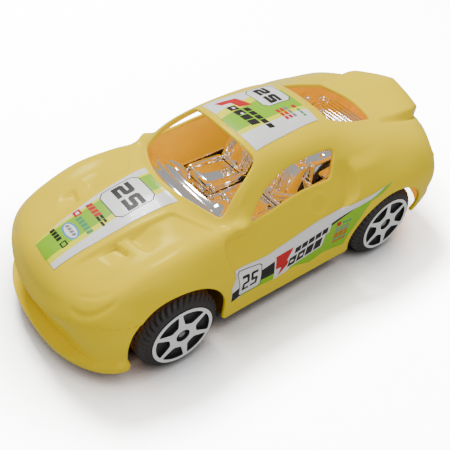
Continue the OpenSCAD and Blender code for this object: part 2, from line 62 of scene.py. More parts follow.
def unit(v):
    """The vectors v at length 1, and those without a length at 0."""
    return v / np.maximum(np.linalg.norm(v, axis=-1, keepdims=True), 1e-9)


def between(t, a, b, c, d):
    """1 from b to c, 0 below a and above d, and smooth between them."""
    return ease(t, a, b) * (1 - ease(t, c, d))


# ---- body surface
# Nine rails run along each side, from the sill (0) over the shoulder (4) and the cantrail (6)
# to the centre line (8). A station is x, its forward bow on the centre line, y of rails 0 to 7, and
# z of rails 1 to 8.
STATIONS = [
    (-56, 0, [29, 31, 32.4, 32, 27, 21, 14, 7.5], [12.5, 19.5, 28, 35.4, 38.6, 39.8, 40.3, 40.6]),
    (-44, 0, [29.9, 31.5, 33, 32.6, 27, 20.8, 14.2, 8], [13, 20.5, 29.5, 37, 41.2, 42.5, 43, 43.3]),
    (-32, 0, [29.8, 30.8, 32, 31.6, 25.6, 21, 15.2, 8.5], [13, 21, 29.5, 38.6, 43, 45.6, 46.9, 47.3]),
    (-20, 0, [29.6, 30.3, 31, 30.3, 24.4, 20.9, 16, 8.8], [13, 21, 28.8, 38, 43.2, 48.2, 50.7, 51.3]),
    (-8, 0, [29.6, 30.2, 30.6, 29.6, 24.2, 20.7, 16.2, 9], [13, 21, 28.4, 37.6, 43.2, 48.8, 51.3, 51.9]),
    (5, 1.5, [29.6, 30.1, 30.5, 29.3, 24.3, 20.6, 15.4, 8.5], [13, 21, 28, 37.2, 43, 48.6, 50.6, 51.2]),
    (14, 4.5, [29.6, 30.1, 30.4, 29.3, 24.4, 21.6, 18.4, 10.5], [13, 21, 28, 36.6, 40.2, 43.4, 45.2, 46.2]),
    (21, 6.5, [29.7, 30.2, 30.6, 29.6, 24.6, 22.1, 19.8, 11], [13, 21, 28, 35.8, 36.4, 36.8, 39.2, 40.2]),
    (29, 3, [29.9, 30.5, 31, 30.2, 24.9, 19.5, 13.5, 8], [13, 21, 28.3, 36.4, 37.4, 38.2, 39.3, 39.7]),
    (41, 0, [30, 30.8, 31.4, 30.8, 25, 19, 13, 7.6], [13, 21, 28.8, 35.9, 36.2, 36.9, 38, 38.4]),
    (54, 0, [29.6, 30.3, 30.4, 28.9, 24.4, 18.8, 13, 7.2], [12.5, 19, 26, 32.4, 33.4, 33.9, 34.6, 34.9])]
# The rails wrap round each end to the centre plane. x, virtual y, and z of each end.
TAIL = ([-69.2, -70.4, -71.2, -71, -70.2, -70, -69.6, -68.8, -67.6],
        [28.5, 30.5, 31.5, 31, 26.5, 21, 14, 8, 0],
        [SILL_EDGE, 12, 19, 26, 31.5, 35.5, 38.6, 40.6, 41.8])
NOSE = ([71, 71.2, 70.6, 69.6, 68.6, 67.4, 66, 64.4, 62.4],
        [29.3, 29.8, 29.5, 27.5, 23.5, 18.5, 13, 7.5, 0],
        [SILL_EDGE, 10, 15.5, 21.5, 25.5, 28, 29.8, 31.2, 32.3])
CENTRE = 8
NOSE_POWER, TAIL_POWER = 2.3, 2.6
BOW_Y = 20
GRID_STEP = 0.65
SMOOTHING = 14


def knots(k):
    """Every knot of rail k, from tail to nose."""
    middle = []
    for x, bow, y, z in STATIONS:
        y, z = (*y, 0)[k], (SILL_EDGE, *z)[k]
        middle.append([x + bow * max(0, 1 - (y / BOW_Y) ** 2), y, z])
    return [[axis[k] for axis in TAIL]] + middle + [[axis[k] for axis in NOSE]]


KNOTS = np.array([knots(k) for k in range(CENTRE + 1)], float)
LAST = KNOTS.shape[1] - 1


def slopes():
    """How fast y and z change with x at each knot."""
    before = KNOTS[:, [max(i - 1, 0) for i in range(LAST + 1)]]
    after = KNOTS[:, [min(i + 1, LAST) for i in range(LAST + 1)]]
    return (after[..., 1:] - before[..., 1:]) / (after[..., :1] - before[..., :1])


SLOPES = slopes()


def cap(t, power):
    """The share of the full width that is left at t, which runs from 0 to 1 at the tip of a rounded end."""
    return np.maximum(0, 1 - np.maximum(t, 0) ** power) ** (1 / power)


def rails(s):
    """Points of all the rails at the station numbers s, where 0 is the tail's end and LAST the nose's."""
    i = np.minimum(np.floor(s).astype(int), LAST - 1)
    t = s - i
    w = np.where(i == 0, 1 - np.cos(t * np.pi / 2), np.where(i == LAST - 1, np.sin(t * np.pi / 2), t))
    shrink = np.where(i == 0, cap(1 - w, TAIL_POWER), np.where(i == LAST - 1, cap(w, NOSE_POWER), 1))
    a, b = (KNOTS[:, k].transpose(1, 0, 2) for k in (i, i + 1))
    m, n = (SLOPES[:, k].transpose(1, 0, 2) for k in (i, i + 1))
    w = w[:, None, None]
    h = b[..., :1] - a[..., :1]
    yz = (2 * w**3 - 3 * w**2 + 1) * a[..., 1:] + (w**3 - 2 * w**2 + w) * h * m
    yz = yz + (3 * w**2 - 2 * w**3) * b[..., 1:] + (w**3 - w**2) * h * n
    x = a[..., 0] + h[..., 0] * w[..., 0]
    return np.stack([x, yz[..., 0] * shrink[:, None], yz[..., 1]], -1)


def skin(s, v):
    """Points of the body at station numbers s and rail numbers v, where v above CENTRE is the right half."""
    side = np.where(v > CENTRE, -1.0, 1.0)
    v = np.where(v > CENTRE, 2 * CENTRE - v, v)
    r = rails(s)
    r = np.concatenate([2 * r[:, :1] - r[:, 1:2], r, r[:, -2:-1] * FLIP_Y], 1)
    i = np.minimum(np.floor(v).astype(int), CENTRE - 1)
    t = (v - i)[:, None]
    a, b, c, d = (r[np.arange(len(v)), i + k] for k in range(4))
    p = (2 * b + t * (c - a) + t**2 * (2 * a - 5 * b + 4 * c - d) + t**3 * (3 * b - a - 3 * c + d)) / 2
    p[:, 1] *= side
    return p


def run_length(points):
    return np.r_[0, np.cumsum(np.linalg.norm(np.diff(points, axis=0), axis=1))]


def respaced(t, run, step):
    """Values of t at about even steps of the running length."""
    return np.interp(np.linspace(0, run[-1], int(run[-1] / step) + 1), run, t)


def even_grid(step):
    """The body sampled at about even spacing along a rail and along the sections."""
    s = np.linspace(0, LAST, 900)
    s = respaced(s, run_length(skin(s, np.full(len(s), 3.0))), step)
    v = np.linspace(0, CENTRE, 400)
    v = respaced(v, sum(run_length(skin(np.full(len(v), at), v)) for at in (3.0, 6.0, 9.0)) / 3, step)
    v = np.r_[v, 2 * CENTRE - v[-2::-1]]
    at_s, at_v = np.meshgrid(s, v, indexing="ij")
    return skin(at_s.ravel(), at_v.ravel()).reshape(len(s), len(v), 3)


def padded(grid):
    """The grid with one more row at each end, mirrored across the centre plane, and one more column at
    each sill."""
    rows = np.concatenate([grid[1:2] * FLIP_Y, grid, grid[-2:-1] * FLIP_Y])
    return np.concatenate([2 * rows[:, :1] - rows[:, 1:2], rows, 2 * rows[:, -1:] - rows[:, -2:-1]], 1)


def softened(grid, times):
    """The grid with each point moved towards its neighbours, several times."""
    for _ in range(times):
        g = padded(grid)
        g = (g[:-2] + 2 * g[1:-1] + g[2:]) / 4
        grid = (g[:, :-2] + 2 * g[:, 1:-1] + g[:, 2:]) / 4
    return grid


def smoothed(grid, times):
    """The grid without its small kinks; the second pass puts back what the first one shrank."""
    once = softened(grid, times)
    return once + softened(grid - once, times)


def grid_normals(grid):
    g = padded(grid)
    return unit(np.cross(g[1:-1, 2:] - g[1:-1, :-2], g[2:, 1:-1] - g[:-2, 1:-1]))


def sample(grid, at):
    """Values between the grid points at indices at[:, 0], at[:, 1]."""
    i = np.clip(np.floor(at[:, 0]).astype(int), 0, grid.shape[0] - 2)
    j = np.clip(np.floor(at[:, 1]).astype(int), 0, grid.shape[1] - 2)
    u, w = (at[:, 0] - i)[:, None], (at[:, 1] - j)[:, None]
    low = grid[i, j] * (1 - w) + grid[i, j + 1] * w
    high = grid[i + 1, j] * (1 - w) + grid[i + 1, j + 1] * w
    return low * (1 - u) + high * u


def beside(x, y, a, b):
    """Distance to the left of the line from a to b, seen with x to the right and y up."""
    dx, dy = b[0] - a[0], b[1] - a[1]
    return (dx * (y - a[1]) - dy * (x - a[0])) / math.hypot(dx, dy)


def ring(d, radius, width):
    """A soft line of the given half width where the distance d is the radius."""
    return np.exp(-(((d - radius) / width) ** 2))


# ---- moulded details
LIP_TOP = 9.4
HOOD_RIDGE = [(62, 8.3), (31.2, 11.2), (20.5, 27)]


def bumper(x, y, z):
    """The front lip, the face set back above it, and the edge of the hood that overhangs the face."""
    front = ease(x, 51.5, 56)
    top = 18.6 + 5.8 * ease(y, 2, 26)
    lip = (0.8 - 0.5 * ease(y, 10, 24)) * (1 - ease(z, LIP_TOP, LIP_TOP + 0.5))
    face = 0.8 + 2.2 * (1 - ease(z, 9, top)) * (1 - 0.8 * ease(y, 10, 27))
    face = face * between(z, LIP_TOP, LIP_TOP + 0.5, top - 0.5, top)
    brow = 0.6 * between(z, top - 0.5, top, top, top + 6)
    return front * (lip - face + brow)


def hood(x, y, z):
    """The raised middle of the hood, and two pockets that face each other on each side of it."""
    inboard = beside(x, y, HOOD_RIDGE[1], HOOD_RIDGE[0])
    rear = -beside(x, y, HOOD_RIDGE[1], HOOD_RIDGE[2])
    d = np.minimum(inboard, rear)
    on_top = ease(z, 27, 30) * (1 - ease(x, 54, 63)) * (1 - ease(y, 19, 27))
    sunk = 0.6 * ease(d, -0.1, 0.6) * (0.3 + 0.7 * np.exp(-np.maximum(d, 0) / 7))
    ridge = 0.16 * ring(d, -0.5, 0.5)
    wall = 48.9 - 0.3 * (y - 10.4)
    front_pocket = between(x - wall, -0.3, 0.3, 0.3, 6.5) * between(y, 10.2, 10.9, 14.2, 17)
    rear_pocket = between(wall - 3.4 - x, -0.3, 0.3, 0.5, 9) * between(y, 10.9, 11.7, 14, 18.5)
    return (ridge - sunk) * on_top - 1.3 * front_pocket - rear_pocket


def lamps(x, y, z):
    """The thin outline of each crescent head lamp."""
    outer = ring(np.hypot(x - 56.5, y - 15), 9.4, 0.45)
    inner = ring(np.hypot(x - 53.5, y - 12), 10.5, 0.45)
    return -(0.22 * outer + 0.16 * inner) * ease(y, 15.5, 17.5) * ease(x, 55, 58) * (z > 22)


def doors(x, y, z):
    """The step behind the front wheel, the handle, the rear haunch, and the mirrors."""
    edge = 23.9 - 0.28 * np.abs(z - 31)
    step = 2.1 * between(edge - x, -0.4, 0.4, 0.5, 13) * between(z, 19, 27, 33.4, 35.2) * (y > 22)
    d = np.hypot((x + 10.7) / 1.25, z - 32.9)
    handle = (0.14 * ring(d, 2.6, 0.5) - 0.3 * (1 - ease(d, 1.2, 2.4))) * (y > 24)
    behind = 8 * np.exp((29 - z) / 1.8) - 23 - x
    haunch = 1.2 * ease(behind, 0, 3.5) * (1 - ease(-x, 27, 45)) - 0.9 * ring(behind, -0.3, 2.2)
    haunch = haunch * between(z, 28.5, 31, 38, 42) * (y > 22)
    d = np.hypot((x - 17.2) / 1.5, np.hypot(y - 24.9, z - 36.2))
    mirror = 1.7 * ring(d, 0, 1.7)
    return handle + haunch + mirror - step


def tail(x, y, z):
    """The lip across the tail, lifted above the corners beside it, and the lamps and the crease under it."""
    back = ease(-x, 58, 63)
    d = np.hypot((y - 20.5) / 1.9, z - 31.5 + 0.1 * (y - 20.5))
    rear_lamps = 0.3 * ring(d, 3.6, 0.5) - 0.5 * (1 - ease(d, 3.0, 3.6)) * ease(y, 10, 12)
    crease = 0.7 * between(z, 17.4, 18.0, 18, 24)
    d = 13.6 + 0.9 * ease(-x, 50, 58) - 3.2 * ease(-x, 62, 71) - y
    top = between(-x, 46.5, 50, 67.5, 71.5) * ease(z, 33, 36)
    lift = 0.5 + 1.7 * ease(-x, 48, 62)
    return back * (rear_lamps - crease) + top * (lift * ease(d, -1.2, 1.0) - 0.4 * ring(d, -1.3, 0.9))


def relief(grid):
    """How far the moulded details stand out of the plain body, at each point of the grid."""
    x, y, z = grid[..., 0], np.abs(grid[..., 1]), grid[..., 2]
    return sum(detail(x, y, z) for detail in (bumper, hood, lamps, doors, tail))[..., None]


PLAIN = smoothed(even_grid(GRID_STEP), SMOOTHING)
PLAIN_NORMAL = grid_normals(PLAIN)
ROWS, COLS = PLAIN.shape[:2]
RELIEF = relief(PLAIN)
OUTER = PLAIN + RELIEF * PLAIN_NORMAL
OUTER_NORMAL = grid_normals(OUTER)
# The inside follows the plain body, except that it keeps its distance behind what is sunk into the outside.
INNER = PLAIN + (np.minimum(RELIEF, 0) - WALL) * PLAIN_NORMAL


# ---- openings
def rounded(corners, steps=6):
    """A closed outline of [a, b, cut] corners. The curve at a corner takes the length cut of each edge."""
    out = []
    for k, corner in enumerate(corners):
        p, cut = np.array(corner[:2], float), corner[2]
        ends = []
        for other in (corners[k - 1], corners[(k + 1) % len(corners)]):
            edge = np.array(other[:2], float) - p
            length = np.linalg.norm(edge)
            ends.append(p + edge * min(cut, length / 2.001) / length)
        for t in np.linspace(0, 1, steps if cut else 1):
            out.append((1 - t) ** 2 * ends[0] + 2 * t * (1 - t) * p + t**2 * ends[1])
    return np.array(out)


def both_halves(half):
    """A closed outline from its half at positive b. A corner's cut goes with it, and corners on the middle
    line count once."""
    return half + [(a, -b, *cut) for a, b, *cut in half[::-1] if b]


def outside(x, y, outline):
    """Signed distance to a closed outline, negative inside it."""
    best = np.full(len(x), np.inf)
    inside = np.zeros(len(x), bool)
    for (ax, ay), (bx, by) in zip(outline, np.roll(outline, -1, 0)):
        ex, ey = bx - ax, by - ay
        if ex * ex + ey * ey < 1e-12:
            continue
        t = np.clip(((x - ax) * ex + (y - ay) * ey) / (ex * ex + ey * ey), 0, 1)
        best = np.minimum(best, (x - ax - t * ex) ** 2 + (y - ay - t * ey) ** 2)
        if ey:
            inside ^= ((ay > y) != (by > y)) & (x < ex * (y - ay) / ey + ax)
    return np.where(inside, -1, 1) * np.sqrt(best)


WINDSCREEN = rounded(both_halves([
    [27.2, 0, 9], [26.4, 6, 9], [24.2, 12.5, 9], [20.4, 19.6, 1.4], [14.3, 18.1, 9], [9.5, 16.7, 9],
    [6, 14.9, 1.4], [6.6, 7, 9], [6.9, 0, 9]]))
REAR_WINDOW = rounded(both_halves([
    [-26.2, 0, 9], [-26.2, 10.9, 1.3], [-34, 12.6, 9], [-45.7, 11.8, 1.3], [-47.6, 6, 9], [-48.2, 0, 9]]))
SIDE_WINDOW = rounded([
    [13.4, 36.6, 1], [8.2, 41.4, 9], [3, 43.8, 9], [-5, 45.6, 9], [-17.6, 45.4, 9], [-20.8, 44.7, 1.1],
    [-17, 38.2, 1.5], [-8, 38.6, 9], [0, 38, 9], [6, 37, 9]])
RIM_R = 0.5
LEG_R = 1.5
FAR = 50.0


def to_opening(p):
    """Distance outside the nearest window, wheel arch or lower edge, less the rim's radius."""
    x, y, z = p[:, 0], np.abs(p[:, 1]), p[:, 2]
    window = np.full(len(p), FAR)
    for part, a, b, outline in (((x > 0) & (z > 33), x, p[:, 1], WINDSCREEN),
                                ((x < -20) & (z > 37), x, p[:, 1], REAR_WINDOW),
                                ((y > 15) & (z > 30) & (abs(x) < 30), x, z, SIDE_WINDOW)):
        k = np.nonzero(part)[0]
        window[k] = np.minimum(window[k], outside(a[k], b[k], outline))
    arch = np.full(len(p), FAR)
    for end in WHEEL_X:
        along, above = x - WHEEL_X[end], z - AXLE_Z
        # Below the axle the sides of an arch drop straight, except in front of a rear wheel.
        dropped = (above < 0) & ((along < 0) | (end == "front"))
        arch = np.minimum(arch, np.hypot(along, np.where(dropped, 0, above)) - ARCH_R[end])
    arch = np.where(y > 18, arch, FAR)
    edge = z - np.where(x < WHEEL_X["rear"], TAIL_EDGE, SILL_EDGE)
    corner = np.hypot(np.maximum(LEG_R - arch, 0), np.maximum(LEG_R - edge, 0))
    lower = np.maximum(np.minimum(arch, edge), LEG_R) - corner
    return np.minimum(window, lower) - RIM_R


BISECTIONS = 12
GRID_WAYS = ((1, 0), (0, 1))
# A grid point moves onto the cut edge if it is nearer to it than this share of a cell.
SNAP = 0.35


def crossings(value, measure):
    """(grid point, next point, share of the way) for each place where the value changes sign between them."""
    found = []
    for di, dj in GRID_WAYS:
        a, b = value[: ROWS - di, : COLS - dj], value[di:, dj:]
        start = np.argwhere((a > 0) != (b > 0))
        lo, hi = np.zeros(len(start)), np.ones(len(start))
        positive_first = a[tuple(start.T)] > 0
        for _ in range(BISECTIONS):
            t = (lo + hi) / 2
            same = (measure(start + t[:, None] * (di, dj)) > 0) == positive_first
            lo, hi = np.where(same, t, lo), np.where(same, hi, t)
        found += [((i, j), (i + di, j + dj), t) for (i, j), t in zip(start.tolist(), (lo + hi) / 2)]
    return found


def snap(at, value, found):
    """Moves the grid points that are close to a crossing onto it, and makes their value 0."""
    nearest = {}
    for a, b, t in found:
        for key, other, share in ((a, b, t), (b, a, 1 - t)):
            if share < SNAP and share < nearest.get(key, (1,))[0]:
                nearest[key] = (share, other)
    for key, (share, other) in nearest.items():
        at[key] += share * np.subtract(other, key)
        value[key] = 0


def cell_corners(grid):
    """The grid's values at the four corners of each cell."""
    return np.stack([grid[:-1, :-1], grid[:-1, 1:], grid[1:, 1:], grid[1:, :-1]], -1)


def grid_faces(state, ids, extra):
    """Faces where the state isn't below 0: whole cells, and cells cut at the extra points."""
    lowest, highest = cell_corners(state).min(-1), cell_corners(state).max(-1)
    quads = cell_corners(ids)[(lowest >= 0) & (highest > 0)]
    faces = [tuple(dict.fromkeys(q)) for q in quads.tolist()]
    for i, j in np.argwhere((lowest < 0) & (highest > 0)):
        loop = [(i, j), (i, j + 1), (i + 1, j + 1), (i + 1, j)]
        face = []
        for a, b in zip(loop, loop[1:] + loop[:1]):
            if state[a] >= 0:
                face.append(int(ids[a]))
            if state[a] * state[b] < 0:
                face.append(extra[frozenset((a, b))])
        face = tuple(dict.fromkeys(face))
        if len(face) > 2:
            faces.append(face)
    return faces


def cut_grid(measure):
    """The part of the grid where measure(indices) is above 0: grid indices of its points, and its faces."""
    at = np.argwhere(np.ones((ROWS, COLS), bool)).astype(float)
    value = measure(at).reshape(ROWS, COLS)
    found = crossings(value, measure)
    at = at.reshape(ROWS, COLS, 2)
    snap(at, value, found)
    state = np.sign(value).astype(int)
    ids = np.arange(ROWS * COLS).reshape(ROWS, COLS)
    middle = COLS // 2
    for row in (0, ROWS - 1):
        ids[row, middle + 1:] = ids[row, :middle][::-1]
    points = list(at.reshape(-1, 2))
    extra = {}
    for a, b, t in found:
        if state[a] * state[b] < 0:
            extra[frozenset((a, b))] = len(points)
            points.append(a + t * np.subtract(b, a))
    faces = grid_faces(state, ids, extra)
    used = sorted({k for f in faces for k in f})
    new = {k: n for n, k in enumerate(used)}
    return np.array([points[k] for k in used]), [tuple(new[k] for k in f) for f in faces]


# ---- meshes
def open_edges(faces):
    """The directed edges that only one face uses, and the points on them."""
    seen = {(a, b) for f in faces for a, b in zip(f, f[1:] + f[:1])}
    edges = [(a, b) for a, b in seen if (b, a) not in seen]
    return edges, sorted({k for e in edges for k in e})


def away(points, normals, edges):
    """At each point of the open edges, the direction that leaves the sheet."""
    out = np.zeros_like(points)
    for a, b in edges:
        e = np.cross(unit(points[b] - points[a]), normals[a] + normals[b])
        out[a] += e
        out[b] += e
    out -= (out * normals).sum(1, keepdims=True) * normals
    return unit(out)


class Shape:
    """Vertices, faces and each face's material number, collected from several pieces of mesh."""

    def __init__(self):
        self.points, self.faces, self.inks, self.count = [], [], [], 0

    def join(self, points, faces, ink=0):
        """Adds points, and faces numbered from the first point of the whole shape."""
        self.points.append(np.asarray(points, float))
        self.faces += faces
        self.inks += [ink] * len(faces) if isinstance(ink, int) else list(ink)
        self.count += len(points)

    def add(self, points, faces, ink=0):
        """Adds points, and faces numbered from the first of them."""
        self.join(points, [tuple(k + self.count for k in f) for f in faces], ink)

    def mesh(self, name, materials, normals=None):
        data = bpy.data.meshes.new(name)
        data.from_pydata((np.concatenate(self.points) * MM).tolist(), [], self.faces)
        for m in materials:
            data.materials.append(m)
        data.polygons.foreach_set("material_index", self.inks)
        data.polygons.foreach_set("use_smooth", [True] * len(self.faces))
        data.update()
        if normals is not None:
            data.normals_split_custom_set_from_vertices([tuple(n) for n in normals])
        obj = bpy.data.objects.new(name, data)
        bpy.context.scene.collection.objects.link(obj)
        return obj


def strips(loops, closed=True):
    """Quads between successive rows of points, each row as long as the others."""
    n = len(loops[0])
    faces = []
    for r in range(len(loops) - 1):
        for k in range(n if closed else n - 1):
            m = (k + 1) % n
            faces.append((r * n + k, r * n + m, (r + 1) * n + m, (r + 1) * n + k))
    return np.concatenate(loops), faces


def sharpen(obj, degrees, below=math.inf):
    """Edges that turn by more than the angle are drawn sharp, if they lie below the given height."""
    data = obj.data
    data.set_sharp_from_angle(angle=math.radians(degrees))
    sharp = data.attributes["sharp_edge"].data
    for edge in data.edges:
        if sharp[edge.index].value and data.vertices[edge.vertices[0]].co.z > below * MM:
            sharp[edge.index].value = False


def shell_mesh():
    """The moulded shell: outer sheet, rolled rims, and inner sheet."""
    at, faces = cut_grid(lambda k: to_opening(sample(OUTER, k)))
    points, normals = sample(OUTER, at), sample(OUTER_NORMAL, at)
    inner = sample(INNER, at)
    edges, rim = open_edges(faces)
    shape = Shape()
    shape.add(points, faces)
    # The inner sheet takes the inside material, painted orange and glowing.
    shape.add(inner, [f[::-1] for f in faces], 1)
    place = {k: n for n, k in enumerate(rim)}
    outward, depth = away(points, normals, edges)[rim], points[rim] - inner[rim]
    quarter = np.radians([22.5, 45, 67.5, 90])
    steps = [(RIM_R * math.sin(a), RIM_R * (1 - math.cos(a)) / WALL) for a in quarter]
    steps += [(o, 1 - d) for o, d in steps[::-1]]
    rows = [points[rim] + o * outward - d * depth for o, d in steps]
    base, n, total = shape.count, len(rim), len(points)
    chain = [lambda k: k] + [lambda k, r=r: base + r * n + place[k] for r in range(len(rows))]
    chain.append(lambda k: total + k)
    quads = [(up(b), up(a), down(a), down(b)) for up, down in zip(chain, chain[1:]) for a, b in edges]
    shape.join(np.concatenate(rows), quads)
    return shape


def hand_over(obj, body, node):
    """Puts the piece on its body, where it takes the place of the CAD node."""
    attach(obj, body)
    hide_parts(node)


# ---- materials
BROAD_GRAIN = 60
ROUGH_LOW, ROUGH_HIGH = 0.8, 1.2
BUMP_DEPTH = 0.1
COAT_ROUGH = 0.08


def fill(node, **values):
    """Sets inputs of the shader node, with _ in a name for a space, and gives the node back."""
    for name, value in values.items():
        node.inputs[name.replace("_", " ")].default_value = value
    return node


def finish(name, colour, rough, metal=0.0, grain=1500.0, vary=0.05, bump=0.05, coat=0.0, sheen=(1, 1, 1),
           shine=0.5, painted_glow=0.0):
    """A material whose colour varies with broad noise, and its roughness and small bumps with fine noise."""
    m = bpy.data.materials.new(name)
    m.use_nodes = True
    nodes, link = m.node_tree.nodes, m.node_tree.links.new
    coord = nodes.new("ShaderNodeTexCoord")
    fine = fill(nodes.new("ShaderNodeTexNoise"), Scale=grain, Detail=4)
    broad = fill(nodes.new("ShaderNodeTexNoise"), Scale=BROAD_GRAIN)
    for noise in (fine, broad):
        link(coord.outputs["Object"], noise.inputs["Vector"])
    mix = nodes.new("ShaderNodeMix")
    mix.data_type = "RGBA"
    fill(mix, A=(*[c * (1 - vary) for c in colour], 1), B=(*[min(1, c * (1 + vary)) for c in colour], 1))
    span = fill(nodes.new("ShaderNodeMapRange"), To_Min=rough * ROUGH_LOW, To_Max=min(1, rough * ROUGH_HIGH))
    dents = fill(nodes.new("ShaderNodeBump"), Strength=bump, Distance=BUMP_DEPTH * MM)
    # The emission strength makes a material emit its own colour: a painted glow, not a lamp.
    bsdf = fill(nodes["Principled BSDF"], Metallic=metal, Coat_Weight=coat, Coat_Roughness=COAT_ROUGH,
                Specular_Tint=(*sheen, 1), Specular_IOR_Level=shine, Emission_Color=(*colour, 1),
                Emission_Strength=painted_glow)
    link(broad.outputs["Fac"], mix.inputs["Factor"])
    link(fine.outputs["Fac"], span.inputs["Value"])
    link(fine.outputs["Fac"], dents.inputs["Height"])
    link(mix.outputs["Result"], bsdf.inputs["Base Color"])
    link(span.outputs["Result"], bsdf.inputs["Roughness"])
    link(dents.outputs["Normal"], bsdf.inputs["Normal"])
    return m


YELLOW = finish("plastic_yellow", (1.0, 0.73, 0.003), 0.22, vary=0.015, bump=0.03, sheen=(1, 0.8, 0.1),
                shine=0.12)
# The inside of the thin moulding is painted a deeper orange and given a painted glow, an emission that stands
# in for the light shining through from its outside.
YELLOW_IN_PAINTED_GLOW = finish("plastic_yellow_inside_painted_glow", (1.0, 0.5, 0.004), 0.4, vary=0.02, bump=0.06,
                   sheen=(1, 0.7, 0.2), painted_glow=0.5)
CHROME = finish("plated_plastic", (0.93, 0.92, 0.9), 0.09, metal=1.0, grain=700, vary=0.03, bump=0.12)
PLATED_FLAT = finish("plated_satin", (0.8, 0.81, 0.82), 0.3, metal=1.0, grain=2500, vary=0.06, bump=0.15)
BLACK = finish("plastic_black", (0.018, 0.018, 0.02), 0.38, vary=0.2)
RUBBER = finish("rubber_tyre", (0.028, 0.024, 0.024), 0.62, grain=2500, vary=0.3, bump=0.3)
STAMP = finish("foil_silver", (0.94, 0.95, 0.94), 0.42, grain=3000, vary=0.05, bump=0.25)
STEEL = finish("steel", (0.62, 0.62, 0.63), 0.25, metal=1.0, grain=4000, vary=0.08)
SPRING = finish("spring_steel", (0.3, 0.33, 0.4), 0.3, metal=1.0, grain=3000, vary=0.1)
GREY = finish("plastic_grey", (0.1, 0.1, 0.11), 0.45, vary=0.15)
NYLON = finish("nylon_white", (0.8, 0.78, 0.7), 0.45, vary=0.04)
INKS = {name: finish(f"print_{name}", colour, rough, vary=vary, coat=coat, shine=shine)
        for name, colour, rough, vary, coat, shine in (
            ("paper", (0.94, 0.92, 0.9), 0.35, 0.015, 0.3, 0.5),
            ("yellow", (0.95, 0.95, 0.004), 0.35, 0.02, 0, 0.3),
            ("lime", (0.28, 0.6, 0.004), 0.35, 0.03, 0, 0.3),
            ("dark", (0.02, 0.018, 0.015), 0.4, 0.2, 0, 0.2),
            ("red", (0.6, 0.01, 0.015), 0.35, 0.06, 0, 0.3),
            ("blue", (0.05, 0.3, 0.6), 0.35, 0.06, 0.3, 0.5),
            ("green", (0.03, 0.32, 0.1), 0.35, 0.06, 0.3, 0.5),
            ("grey", (0.22, 0.22, 0.24), 0.35, 0.08, 0.3, 0.5))}
INK_ORDER = list(INKS)


# ---- stickers
LOCATE_STRIDE, LOCATE_ROUNDS = 7, 8
PRINT_STEP = 0.6
PRINT_LIFT, PRINT_THICK = 0.17, 0.2
PLATE_LINE = 0.28


def locate(flat, axes, search):
    """Grid indices of the body's points whose coordinates on the two axes are flat. The search starts at
    the nearest of some searched grid points and steps along the grid's slopes."""
    cells = np.argwhere(search)[::LOCATE_STRIDE]
    known = PLAIN[cells[:, 0], cells[:, 1]][:, axes]
    nearest = [((known - f) ** 2).sum(1).argmin() for f in flat]
    at = cells[nearest].astype(float)
    slopes_ij = [np.gradient(PLAIN, axis=way) for way in (0, 1)]
    for _ in range(LOCATE_ROUNDS):
        ma, mb = (flat - sample(PLAIN, at)[:, axes]).T
        (ia, ib), (ja, jb) = (sample(slope, at)[:, axes].T for slope in slopes_ij)
        at += np.stack([ma * jb - mb * ja, ia * mb - ib * ma], 1) / (ia * jb - ib * ja)[:, None]
        at = np.clip(at, 0, [ROWS - 1, COLS - 1])
    return at


def divided(outline, step):
    """The outline with points added so that no edge is longer than step."""
    out = []
    for a, b in zip(outline, np.roll(outline, -1, 0)):
        n = max(1, int(np.ceil(np.linalg.norm(b - a) / step)))
        out += [a + (b - a) * k / n for k in range(n)]
    return np.array(out)


def anticlockwise(outline):
    a, b = np.array(outline, float).T
    turned = (a * np.roll(b, -1) - b * np.roll(a, -1)).sum() > 0
    return np.stack([a, b], 1)[:: 1 if turned else -1]


def sheet_faces(outlines, spacing):
    """The first outline's inside, cut along all the outlines: its points, and each triangle with the numbers
    of the outlines that hold it."""
    outlines = [divided(anticlockwise(o), spacing) for o in outlines]
    points, loops = [], []
    for o in outlines:
        loops.append(list(range(len(points), len(points) + len(o))))
        points += o.tolist()
    lo, hi = outlines[0].min(0), outlines[0].max(0)
    a, b = np.meshgrid(np.arange(lo[0], hi[0], spacing), np.arange(lo[1], hi[1], spacing))
    a, b = a.ravel(), b.ravel()
    inside = outside(a, b, outlines[0]) < -0.4 * spacing
    points += np.stack([a, b], 1)[inside].tolist()
    made = geometry.delaunay_2d_cdt([Vector(p) for p in points], [], loops, 0, 1e-5, True)
    faces = [(tuple(f), held) for f, held in zip(made[2], made[5]) if 0 in held]
    return np.array([tuple(p) for p in made[0]]), faces


def sticker(name, outline, shapes, axes, search, flip, node):
    """A printed sheet that follows the body. Its coordinates are the body's two given axes."""
    flat, faces = sheet_faces([outline] + [points for points, ink in shapes], PRINT_STEP)
    inks = ["paper"] + [ink for points, ink in shapes]
    sheet = [f[::-1] if flip else f for f, held in faces]
    at = locate(flat, axes, search)
    normals = sample(OUTER_NORMAL, at)
    points = sample(OUTER, at) + PRINT_LIFT * normals
    shape = Shape()
    shape.add(points, sheet, [INK_ORDER.index(inks[max(held)]) for f, held in faces])
    edges, rim = open_edges(sheet)
    place = {k: len(points) + n for n, k in enumerate(rim)}
    shape.join(points[rim] - PRINT_THICK * normals[rim], [(b, a, place[a], place[b]) for a, b in edges])
    obj = shape.mesh(name, list(INKS.values()), normals=np.concatenate([normals, normals[rim]]))
    hand_over(obj, "car", node)


def boxed(a0, a1, b0, b1):
    return [(a0, b0), (a1, b0), (a1, b1), (a0, b1)]


def chamfered(a0, a1, b0, b1, c):
    return [(a0 + c, b0), (a1 - c, b0), (a1, b0 + c), (a1, b1 - c), (a1 - c, b1), (a0 + c, b1),
            (a0, b1 - c), (a0, b0 + c)]


def laid(points, origin, lay):
    """Points given along a line of print, turned to where and how the print lies on the sticker."""
    o, r, u = (np.array(v, float) for v in (origin, *lay))
    return [tuple(o + r * a + u * b) for a, b in points]


